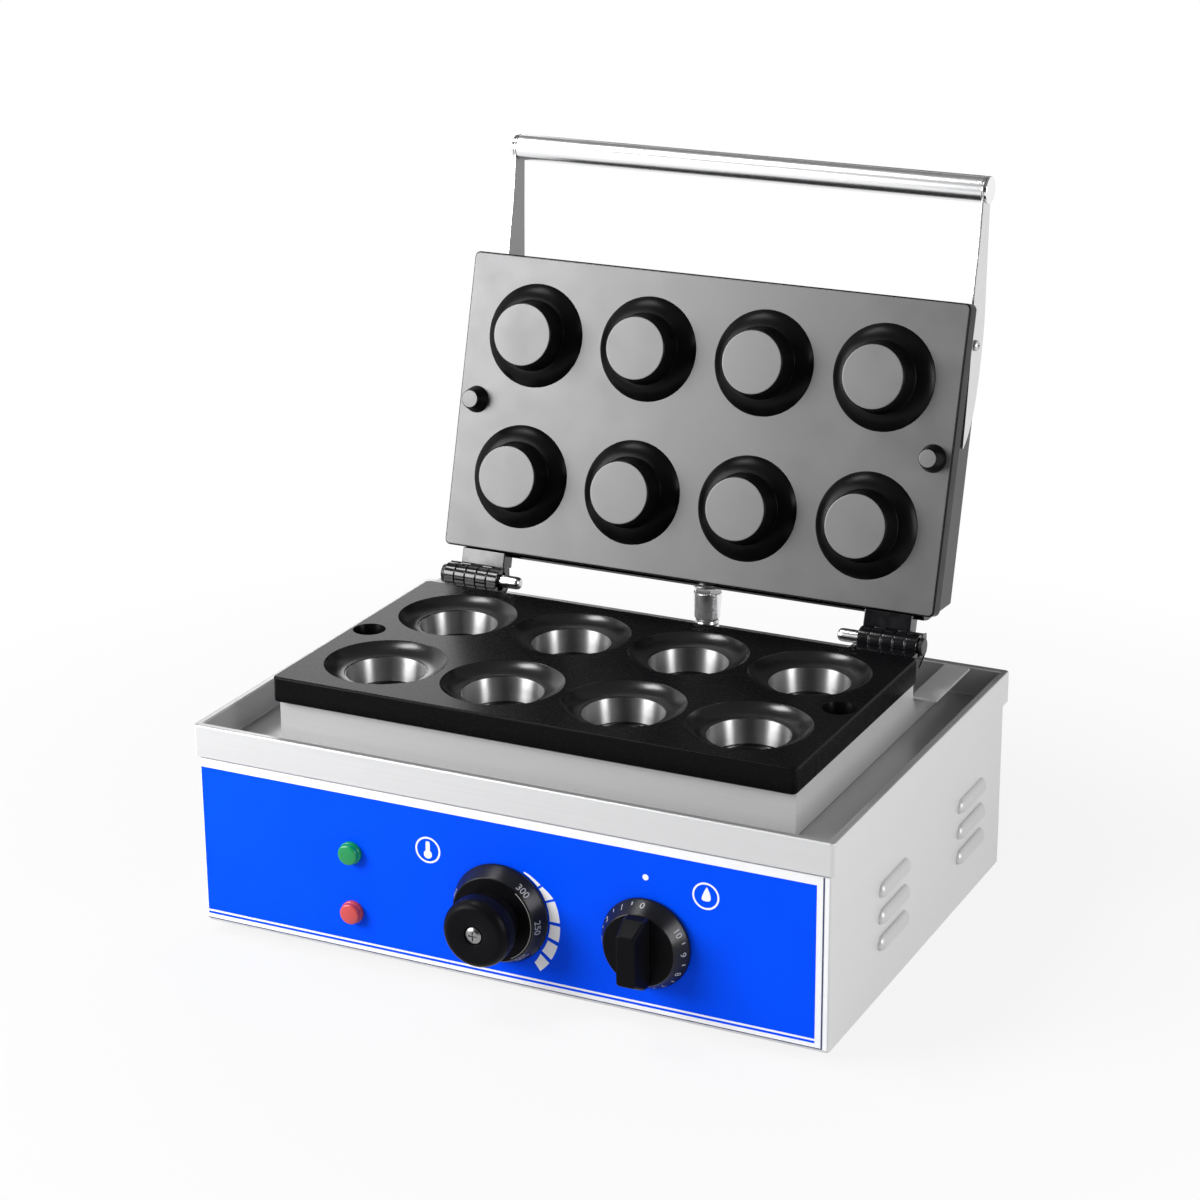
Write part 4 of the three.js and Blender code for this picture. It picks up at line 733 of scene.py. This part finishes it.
CONTROL_Z, TIMER_X, LAMP_X = 58.5, 101.5, -109
PRINT, PRINT_ROOT = 0.12, -0.1
FIELD, FIELD_BAND = (-220.8, 213.5, 16.6, 119), (-220.8, 213.5, 13.6, 15.1)
EDGE_LINE, FOOT_LINE = (217.6, 218.6, 10.2, 124.8), (-221.2, 217.6, 10.1, 10.7)
MARK_RADIUS, MARK_LINE = 9, 1.2
THERMOMETER_PLACE, DROP_PLACE, TIMER_DOT_PLACE = (-52.3, 91.3), (141, 97.5), (100.5, 102.2)
THERMOMETER_STEM, THERMOMETER_BULB, TIMER_DOT = (-1.5, 1.5, -1, 6), 2.9, 2
DROP = ((-3.4, -3.4, 3), (3.4, -3.4, 3), (3.2, 1.4, 2.4), (0.6, 6.4, 0.8), (-1.8, 1.6, 2))
# The scale beside the thermostat: start and end in degrees, then the inner and the outer radii at both
SCALE = ((62, 41, (34.2, 34.3), (35.2, 36.8)), (38.5, 24, (34.2, 34), (37.2, 40.2)),
         (21.5, 0.5, (34, 34), (40.4, 41)), (-3, -18, (34.2, 34.4), (41.2, 42)),
         (-22, -37, (35, 35.4), (42.4, 43.4)), (-41, -53, (36, 38), (44, 44.6)))


def drawn(outline):
    return prism(outline, PRINT_ROOT, PRINT)


def drawn_box(x0, x1, z0, z1):
    return drawn([(x0, z0), (x1, z0), (x1, z1), (x0, z1)])


def drawn_ring(radius, line):
    inner = radius - line
    return lathe([(inner, PRINT_ROOT), (radius, PRINT_ROOT), (radius, PRINT), (inner, PRINT)], steps=64)


def sector(inner, outer, start, end, steps=12):
    """Part of a ring from start to end, in degrees; the radii are given for both ends."""
    turns = [k / steps for k in range(steps + 1)]

    def point(radii, t):
        angle = math.radians(start + (end - start) * t)
        radius = radii[0] + (radii[1] - radii[0]) * t
        return radius * math.cos(angle), radius * math.sin(angle)
    return [point(inner, t) for t in turns] + [point(outer, t) for t in reversed(turns)]


def over_field(shape, x, z, layers=1):
    """A print that lies over the blue field, so many layers up."""
    return moved(shape, at((x, z, PRINT * layers)))


FACE = on_panel(0, 0)
dress(print_white, "control_panel")
piece("panel_field", joined(drawn_box(*FIELD), drawn_box(*FIELD_BAND)), FACE, "base", panel_blue,
      "panel_blue")
piece("panel_lines", joined(drawn_box(*EDGE_LINE), drawn_box(*FOOT_LINE)), FACE, "base", print_dark,
      "black_plastic")

marks = [over_field(drawn(sector(inner, outer, start, end)), 0, CONTROL_Z)
         for start, end, inner, outer in SCALE]
stem = [(x, y) for x, y, _ in rectangle(*THERMOMETER_STEM, 0, 1.4)]
marks += [
    over_field(drawn_ring(MARK_RADIUS, MARK_LINE), *THERMOMETER_PLACE),
    over_field(drawn(stem), *THERMOMETER_PLACE),
    over_field(drawn(circle(0, -3, THERMOMETER_BULB)), *THERMOMETER_PLACE, layers=1.5),
    over_field(drawn_ring(MARK_RADIUS, MARK_LINE), *DROP_PLACE),
    over_field(drawn(eased(DROP)), *DROP_PLACE),
    over_field(drawn(circle(0, 0, TIMER_DOT)), *TIMER_DOT_PLACE),
]
piece("panel_marks", joined(*marks), FACE, "base", print_white, "panel_blue")

# Controls on the panel. Each knob's cone runs from its low to its high end, as (radius, height)

DIAL = on_panel(0, CONTROL_Z)
TIMER = on_panel(TIMER_X, CONTROL_Z)
# Each knob's cone takes a lit copy of its plastic between the two radii after it: painted light.
DIAL_CONE, DIAL_LIT_CONE = ((33.5, 2.8), (28.4, 13.2)), (28, 34)
TIMER_CONE, TIMER_LIT_CONE = ((30.2, 2.8), (24, 13.7)), (23.8, 31)
SPINDLE_BORE, KNOB_GAP, KNOB_HOLLOW = 3.3, 1.2, (21, 3.2)
GRIP = ((0, 13.5), (18.5, 13.5), (18.5, 18.8, 1), (23, 24.63, 2), (23, 35.23, 2.5), (19.3, 39.9, 2.5),
        (11, 39.6, 4), (6.4, 38.5, 0.4), (6.4, 37, 0.3), (0, 37))
GRIP_RECESS_Z = 37.02
# The timer's bar grip: half its width, half its length, height and corner radius
TIMER_BAR = ((7.75, 23.5, 10, 2), (7.75, 23.5, 18.6, 2), (7.6, 23, 20.2, 2), (6.6, 17.4, 30.8, 2.2),
             (6.2, 16.8, 31.7, 2.2), (5.4, 15.9, 32.2, 2))
# Figures and ticks: their height, where the row starts and its step in degrees, and the share of the cone
DIAL_FIGURE, DIAL_START, DIAL_STEP, DIAL_SHARE = 6.6, 108, 50, 0.66
TIMER_FIGURE, TIMER_START, TIMER_STEP, TIMER_SHARE = 6.4, 90, 30, 0.42
TICK_WIDTH, TICK_HEIGHT, TICK_SHARE = 0.8, 2.6, 0.3
DIAL_RING, RING_LOW, RING_HIGH = ((27.1, 27.1), (27.6, 27.6), 52, -62, 40), 13.15, 13.3
LAMPS = (("green", 78.8, green_lens), ("red", 37, red_lens))
LENS_DOME = ((0, 0.3), (7.7, 0.3), (7.7, 2.6, 0.4), (7.1, 3, 0.3), (7, 6.2, 1.4), (3, 6.9, 2), (0, 6.9))
CONTROL_SCREW_X = 14


def knob_skirt(cone):
    """A knob's round foot: its bore, the hollow below it and its cone."""
    (radius, low), (face, top) = cone
    hollow, roof = KNOB_HOLLOW
    return lathe(eased([(SPINDLE_BORE, roof), (hollow, roof), (hollow, KNOB_GAP), (radius, KNOB_GAP, 0.5),
                        (radius, low, 0.8), (face, top, 0.9), (SPINDLE_BORE, top)]))


def on_cone(shape, angle, cone, share):
    """A flat shape wrapped on a cone, at an angle round it and the share of the way up it."""
    low, high = (Vector(end) for end in cone)
    slope = (low - high).normalized()
    out = Vector((-slope.y, slope.x))
    middle = low.lerp(high, share)
    for vert in shape.verts:
        u, v, w = vert.co
        r, z = middle + slope * v + out * w
        a = math.radians(angle) - u / middle.x
        vert.co = (r * math.cos(a), r * math.sin(a), z)
    return shape


def tick():
    return block(-TICK_WIDTH / 2, TICK_WIDTH / 2, -TICK_HEIGHT / 2, TICK_HEIGHT / 2, -0.1, 0.1)


def cone_finish(inner, outer):
    """A pick of the second finish, a lit copy of the black plastic that is shinier and a little lighter, for
    a knob's cone between two radii: painted light.
    """
    def pick(face):
        middle = face.calc_center_median()
        return int(inner < math.hypot(middle.x, middle.y) < outer and abs(face.normal.z) < 0.8)
    return pick


control_spots = [at((x + side * CONTROL_SCREW_X, CONTROL_Z, 0)) for x in (0, TIMER_X) for _, side in SIDES]
fasteners("control_screws", cross_head(*CONTROL_HEAD), control_spots, FACE, "base")

remake("thermostat_dial", knob_skirt(DIAL_CONE), DIAL, "thermostat_control", black_gloss,
       "black_gloss_plastic", others=[lit_knob_plastic], pick=cone_finish(*DIAL_LIT_CONE))
dial_marks = [
    on_cone(lettering(str(50 * k), DIAL_FIGURE), DIAL_START + DIAL_STEP * k, DIAL_CONE, DIAL_SHARE)
    for k in range(1, 7)]
dial_marks.append(prism(sector(*DIAL_RING), RING_LOW, RING_HIGH))
piece("thermostat_numbers", joined(*dial_marks), DIAL, "thermostat_control", print_grey, "panel_blue")
remake("thermostat_grip", lathe(eased(GRIP)), DIAL, "thermostat_control", black_gloss,
       "black_gloss_plastic")
piece("thermostat_grip_screw", moved(cross_head(*GRIP_HEAD), at((0, 0, GRIP_RECESS_Z))), DIAL,
      "thermostat_control", screw_grey, "chrome")

timer_bar = loft([rectangle(-x, x, -y, y, z, corner, 5) for x, y, z, corner in TIMER_BAR])
remake("timer_knob", joined(knob_skirt(TIMER_CONE), timer_bar), TIMER, "timer_control", black_gloss,
       "black_gloss_plastic", others=[lit_knob_plastic], pick=cone_finish(*TIMER_LIT_CONE))
timer_marks = [
    on_cone(lettering(str(k), TIMER_FIGURE), TIMER_START + TIMER_STEP * k, TIMER_CONE, TIMER_SHARE)
    for k in range(11)]
timer_marks += [on_cone(tick(), TIMER_START + TIMER_STEP * (k + 0.5), TIMER_CONE, TICK_SHARE)
                for k in range(10)]
piece("timer_numbers", joined(*timer_marks), TIMER, "timer_control", print_grey, "panel_blue")
dress(zinc, "thermostat_spindle", "timer_spindle", "thermostat_body", "timer_body")

for name, z, lens in LAMPS:
    remake(f"{name}_lamp", lathe(eased(LENS_DOME), steps=64), on_panel(LAMP_X, z), "base", lens,
           f"{name}_lens")
dress(black_plastic, "green_lamp_body", "red_lamp_body")

# Hinges. Heights and depths are measured from the pin's axis

KNUCKLES, KNUCKLE_LENGTH, KNUCKLE_PITCH, KNUCKLE_RADIUS = 5, 8, 8.5, 8
KNUCKLE_START, HINGE_HALF = -21, 21.25
HINGE_BOLT_X, HINGE_BOLT_Y, HINGE_BOLT_Z = 8.5, -12.5, 10.8
HINGE_BORE, BORE_END = 3.1, 20
BLOCK_FRONT, BLOCK_REAR = -19.7, -8.5
LOWER_BLOCK = (-23, 23, BLOCK_FRONT, BLOCK_REAR, -15, -1)
LOWER_SHELF = (-HINGE_HALF, HINGE_HALF, -9.5, 0, -15, BLOCK_REAR)
UPPER_BLOCK_INNER, UPPER_BLOCK_LOW, UPPER_BLOCK_HIGH = 12.5, 1.5, 14.5
LOWER_WEB = ((-8.8, -15), (0, -15), (12.8, -7.5), (12.8, 4.94), (5.09, 7.09), (0, 0), (-8.8, -1))
UPPER_WEB = ((-8.8, 1.5), (0, 0), (0, 8), (-8.8, 14.5))
HINGE_PIN = ((0, -36.75), (4.5, -36.75, 3.6), (4.5, 21.5), (0, 21.5))
PIN_HEAD_RADIUS, PIN_HEAD_LOW, PIN_HEAD_HIGH = 6, 21.5, 24.5


def hinge(level, side):
    """The lower casting (level -1) has three knuckles on a bored block, and the upper one (level 1) two."""
    if level < 0:
        blocks, web, first = (LOWER_BLOCK, LOWER_SHELF), LOWER_WEB, 0
    else:
        near, far = sorted((-side * HINGE_HALF, side * UPPER_BLOCK_INNER))
        blocks = ((near, far, BLOCK_FRONT, BLOCK_REAR, UPPER_BLOCK_LOW, UPPER_BLOCK_HIGH),)
        web, first = UPPER_WEB, 1
    shapes = [chamfer(block(*limits), 0.8) for limits in blocks]
    for index in range(first, KNUCKLES, 2):
        start = KNUCKLE_START + index * KNUCKLE_PITCH
        end = start + KNUCKLE_LENGTH
        shapes.append(moved(rod(KNUCKLE_RADIUS, start, end, edge=0.6), ALONG_X))
        shapes.append(chamfer(moved(prism(web, start, end), ALONG_X), 0.5))
    bores = [moved(rod(HINGE_BORE, HINGE_BOLT_Y, BORE_END, 32), at((x, 0, level * HINGE_BOLT_Z)) @ REARWARDS)
             for x in (-HINGE_BOLT_X, HINGE_BOLT_X)]
    return joined(*(boolean(shape, joined(*(bore.copy() for bore in bores))) for shape in shapes))


for name, side in SIDES:
    hinge_place = BASE @ at((side * HINGE_X, HINGE_Y, HINGE_Z))
    lid_hinge_place = LID @ at((side * HINGE_X, 0, 0))
    pin_place = hinge_place @ outwards(side)
    remake(f"lower_hinge_{name}", hinge(-1, side), hinge_place, "base", hinge_black, "black_enamel")
    remake(f"upper_hinge_{name}", hinge(1, side), lid_hinge_place, "lid", hinge_black, "black_enamel")
    remake(f"hinge_pin_{name}", lathe(eased(HINGE_PIN), steps=64), pin_place, "base", satin_steel,
           "satin_stainless")
    piece(f"hinge_pin_head_{name}", rod(PIN_HEAD_RADIUS, PIN_HEAD_LOW, PIN_HEAD_HIGH, 64, edge=0.6),
          pin_place, "base", black_enamel, "black_enamel", [f"hinge_pin_{name}"])
for name, level, body, place in (("hinge_bolts_lower", -1, "base", BASE @ at((0, HINGE_Y, HINGE_Z))),
                                 ("hinge_bolts_upper", 1, "lid", LID)):
    bolt_spots = [at((side * HINGE_X + x, HINGE_BOLT_Y, level * HINGE_BOLT_Z)) @ REARWARDS
                  for _, side in SIDES for x in (-HINGE_BOLT_X, HINGE_BOLT_X)]
    fasteners(name, socket_head(*HINGE_HEAD), bolt_spots, place, body)

# Feet with their screws

FOOT_X, FOOT_Y, FOOT_RECESS = 184.3, 117.5, 3.4
FOOT = ((2.3, FOOT_RECESS), (6, FOOT_RECESS), (6, 0, 0.5), (11, 0, 1), (13, 8, 0.6), (2.3, 8))
FEET = {f"{row}_{name}": (side * FOOT_X, y) for row, y in (("front", -FOOT_Y), ("rear", FOOT_Y))
        for name, side in SIDES}

for name, (x, y) in FEET.items():
    remake(f"foot_{name}", lathe(eased(FOOT), steps=64), BASE @ at((x, y, 0)), "base", rubber, "rubber")
foot_spots = [at((x, y, FOOT_RECESS)) @ DOWNWARDS for x, y in FEET.values()]
fasteners("foot_screws", cross_head(*PAN_HEAD), foot_spots, BASE, "base")

# Conduit with its glands, and the outlet at the rear. A gland's profile starts with its bore

LID_GLAND_Y, LID_GLAND_Z = -17.576, 30.3
LID_GLAND_TILT = math.atan2(9.5, 44) - math.pi / 2
CONDUIT_END, CONDUIT_KNEE, CONDUIT_FOOT, BEND_START = 8.3, 25.5, 84, 139.5
CONDUIT_ROOT, CONDUIT_CREST, CONDUIT_PITCH = 7.7, 8.6, 3.4
LID_WASHER = ((6, -6.2), (8, -6.2), (8, 0.3), (10.5, 0.3, 0.3), (10.5, 1.8, 0.5), (6, 1.8))
LID_NUT = ((6, 1.7), (10.4, 1.7), (10.4, 6.2), (6, 6.2))
LID_SLEEVE = ((8.7, 6.1), (9.9, 6.1, 0.3), (9.7, 12, 8), (9, 24, 0.3), (8.7, 24))
BASE_WASHER = ((8.9, -4.8), (10.3, -4.8), (10.3, 0.3), (12.5, 0.3, 0.3), (12.5, 1.8, 0.5), (8.9, 1.8))
BASE_NUT = ((8.9, 1.7), (12.4, 1.7), (12.4, 7), (8.9, 7))
BASE_SLEEVE = ((8.9, 6.9), (11.6, 6.9, 0.3), (11.2, 10, 1), (9.6, 11, 0.5), (8.9, 11))
OUTLET_WASHER = ((4.5, -6), (7, -6), (7, 0.3), (11, 0.3, 0.3), (11, 1.4, 0.4), (4.5, 1.4))
OUTLET_NUT = ((4.5, 1.3), (10.9, 1.3), (10.9, 5), (4.5, 5))
SLEEVE_CREST, SLEEVE_START = 10.6, 5
RIBS, RIB_TAPER, RIB_DEPTH = (6.6, 8.4, 10.2, 12), 0.28, 1


def ribbed(corners, root, crest, pitch, steps=6, sides=40):
    """A tube along a chain of points in the plane of y and z, with rounded ribs round it."""
    loops = []
    run = 0.0
    for a, b in zip(corners, corners[1:]):
        count = max(2, round((b - a).length / pitch * steps))
        side = Vector((0, (b - a).z, -(b - a).y)).normalized()
        for k in range(count):
            centre = a.lerp(b, k / count)
            wave = 0.5 - 0.5 * math.cos(2 * math.pi * (run + (centre - a).length) / pitch)
            radius = root + (crest - root) * wave ** 0.6
            loops.append([centre + Vector((1, 0, 0)) * radius * math.cos(t) + side * radius * math.sin(t)
                          for t in (2 * math.pi * i / sides for i in range(sides))])
        run += (b - a).length
    return loft(loops)


def gland(washer, nut, sleeve, steps=96):
    """A washer on its threaded neck, a six-sided nut and a sleeve."""
    return joined(lathe(eased(washer)), chamfer(lathe(nut, steps=6), 0.4), lathe(eased(sleeve), steps))


lid_gland_place = LID @ at((CONDUIT_X, LID_GLAND_Y, LID_GLAND_Z)) @ Matrix.Rotation(LID_GLAND_TILT, 4, "X")
lid_gland_in_base = BASE.inverted() @ lid_gland_place
conduit_end = lid_gland_in_base @ Vector((0, 0, CONDUIT_END))
conduit_knee = lid_gland_in_base @ Vector((0, 0, CONDUIT_KNEE))
conduit_foot = Vector((CONDUIT_X, conduit_knee.y, CONDUIT_FOOT))
hose = ribbed([conduit_foot, conduit_knee, conduit_end], CONDUIT_ROOT, CONDUIT_CREST, CONDUIT_PITCH)
conduit = remake("conduit", hose, BASE, None, satin_steel, "satin_stainless", smooth=60)
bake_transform(conduit)

remake("lid_conduit_gland", gland(LID_WASHER, LID_NUT, LID_SLEEVE), lid_gland_place, "lid", handle_chrome,
       "satin_stainless")
base_gland_place = BASE @ at((CONDUIT_X, CONDUIT_Y, TRAY_FLOOR))
remake("conduit_base_gland", gland(BASE_WASHER, BASE_NUT, BASE_SLEEVE), base_gland_place, "base",
       handle_chrome, "satin_stainless")

outlet_sleeve = [(4.5, 4.9), (SLEEVE_CREST, 4.9, 0.3)]
for z in RIBS:
    crest = SLEEVE_CREST - (z - SLEEVE_START) * RIB_TAPER
    root = crest - RIB_DEPTH
    outlet_sleeve += [(crest, z, 0.3), (root, z + 0.7, 0.3), (root, z + 1.1, 0.3)]
outlet_sleeve += [(7.3, 16, 0.8), (4.5, 16)]
outlet_place = BASE @ at((OUTLET_X, SHELL_Y, OUTLET_Z)) @ REARWARDS
remake("rear_cable_gland", gland(OUTLET_WASHER, OUTLET_NUT, outlet_sleeve, steps=72), outlet_place,
       "base", black_plastic, "black_plastic")

# What hangs inside

CLAMP_BOLT_X, LOWER_CLAMP_Y, LOWER_CLAMP_Z = 87, -18.35, 146.8
UPPER_CLAMP_DEPTH = 25.1
TERMINAL_X, TERMINAL_Y, TERMINAL_Z, TERMINAL_PITCH = -80, 120, 23.5, 15.5

clamp_spots = [at((side * CLAMP_BOLT_X, LOWER_CLAMP_Y, LOWER_CLAMP_Z)) @ DOWNWARDS for _, side in SIDES]
fasteners("lower_clamp_bolts", socket_head(*CLAMP_HEAD), clamp_spots, BASE, "base")
clamp_spots = [at((side * CLAMP_BOLT_X, along(DIE_REAR - LOWER_CLAMP_Y), behind(UPPER_CLAMP_DEPTH)))
               for _, side in SIDES]
fasteners("upper_clamp_bolts", socket_head(*CLAMP_HEAD), clamp_spots, LID, "lid")
pole_spots = [at((TERMINAL_X + TERMINAL_PITCH * (k - 1.5), TERMINAL_Y, TERMINAL_Z)) for k in range(4)]
fasteners("terminal_screws", cross_head(*TERMINAL_HEAD), pole_spots, BASE, "base")
dress(black_plastic, "conduit_base_nut", "rear_gland_nut")
dress(zinc, "heat_shield", "lower_heating_element", "upper_heating_element",
      *(f"{level}_heater_clamp_{name}" for level in ("lower", "upper") for name, _ in SIDES),
      *(f"lid_post_{row}_{name}" for row in ("rear", "front") for name, _ in SIDES))
dress(wool, "insulation_pad")
dress(ceramic, "terminal_block")
dress(copper, "thermostat_bulb")

# Studio: a pale floor, a white surround, dark cards that only reflections see, and soft lamps

WORLD_LEVEL = 0.26
FLOOR_HALF, FLOOR_GREY, FLOOR_ROUGH = 9, 0.55, 0.9
FLOOR_NEAR, FLOOR_FAR, FLOOR_NEAR_GLOW = 0.3, 0.75, 0.86
CEILING_HALF, CEILING_HEIGHT, CEILING_LEVEL = 3, 2.5, 0.2


def combined(nodes, links, operation, first, second):
    node = nodes.new("ShaderNodeMath")
    node.operation = operation
    links.new(first, node.inputs[0])
    links.new(second, node.inputs[1])
    return node.outputs[0]


def any_ray(nodes, links, *kinds):
    """One for the named kinds of ray, nought for the rest."""
    ray = nodes.new("ShaderNodeLightPath")
    total = ray.outputs[kinds[0]]
    for kind in kinds[1:]:
        total = combined(nodes, links, "MAXIMUM", total, ray.outputs[kind])
    return total


def square(half, height):
    return [(-half, -half, height), (half, -half, height), (half, half, height), (-half, half, height)]


def upright(start, end, top):
    return [(*start, 0), (*end, 0), (*end, top), (*start, top)]


def card(name, corners):
    """A flat studio piece, and the nodes of its material."""
    mesh = bpy.data.meshes.new(name)
    mesh.from_pydata(corners, [], [(0, 1, 2, 3)])
    made = bpy.data.objects.new(name, mesh)
    bpy.context.scene.collection.objects.link(made)
    paint = bpy.data.materials.new(name)
    paint.use_nodes = True
    mesh.materials.append(paint)
    return made, paint.node_tree.nodes, paint.node_tree.links


def flag(name, corners, level):
    """A dark card that only reflections see."""
    made, nodes, links = card(name, corners)
    made.visible_camera = made.visible_diffuse = made.visible_shadow = False
    shade = nodes.new("ShaderNodeEmission")
    shade.inputs["Strength"].default_value = level
    links.new(shade.outputs[0], nodes["Material Output"].inputs["Surface"])


def lamp(name, place, target, size, power):
    """A soft lamp of size, its width and height, turned from its place towards the target."""
    light = bpy.data.lights.new(name, "AREA")
    light.shape, light.size, light.size_y = "RECTANGLE", size[0], size[1]
    light.energy = power
    made = bpy.data.objects.new(name, light)
    bpy.context.scene.collection.objects.link(made)
    aim = (Vector(target) - Vector(place)).to_track_quat("-Z", "Y")
    made.matrix_world = at(place) @ aim.to_matrix().to_4x4()


world = bpy.data.worlds.new("surround")
bpy.context.scene.world = world
world.use_nodes = True
nodes, links = world.node_tree.nodes, world.node_tree.links
surround = nodes["Background"]
surround.inputs["Color"].default_value = (1, 1, 1, 1)
seen = any_ray(nodes, links, "Is Camera Ray", "Is Glossy Ray", "Is Transmission Ray")
links.new(ranged(nodes, links, seen, (0, 1), (WORLD_LEVEL, 1)), surround.inputs["Strength"])

_, nodes, links = card("floor", square(FLOOR_HALF, 0))
diffuse = nodes["Principled BSDF"]
diffuse.inputs["Base Color"].default_value = (*even(FLOOR_GREY), 1)
diffuse.inputs["Roughness"].default_value = FLOOR_ROUGH
glow = nodes.new("ShaderNodeEmission")
mix = nodes.new("ShaderNodeMixShader")
where = nodes.new("ShaderNodeTexCoord")
far = nodes.new("ShaderNodeVectorMath")
far.operation = "LENGTH"
links.new(where.outputs["Object"], far.inputs[0])
fade = ranged(nodes, links, far.outputs["Value"], (FLOOR_NEAR, FLOOR_FAR), (FLOOR_NEAR_GLOW, 1))
seen = any_ray(nodes, links, "Is Camera Ray", "Is Glossy Ray")
links.new(combined(nodes, links, "MULTIPLY", seen, fade), mix.inputs[0])
links.new(diffuse.outputs[0], mix.inputs[1])
links.new(glow.outputs[0], mix.inputs[2])
links.new(mix.outputs[0], nodes["Material Output"].inputs["Surface"])

flag("ceiling", square(CEILING_HALF, CEILING_HEIGHT), CEILING_LEVEL)
flag("front_flag", upright((-1, -2.48), (2.35, -0.86), 2), 0.05)
flag("rear_flag", upright((-0.74, 1.35), (0.1, 1.35), 1.1), 0.02)

lamp("key", (-1.1, -1.05, 0.72), (-0.1, -0.1, 0.15), (0.9, 0.8), 29)
lamp("top", (-0.75, -0.25, 1.7), (0, 0, 0.1), (0.5, 0.5), 12)
lamp("sheen", (-1.05, 1.4, 0.75), (-0.1, 0, 0.17), (0.4, 0.5), 1.7)
lamp("fill", (1.4, -0.3, 0.6), (0, 0, 0.15), (0.4, 0.8), 11)

bpy.context.scene.view_settings.view_transform = "Standard"
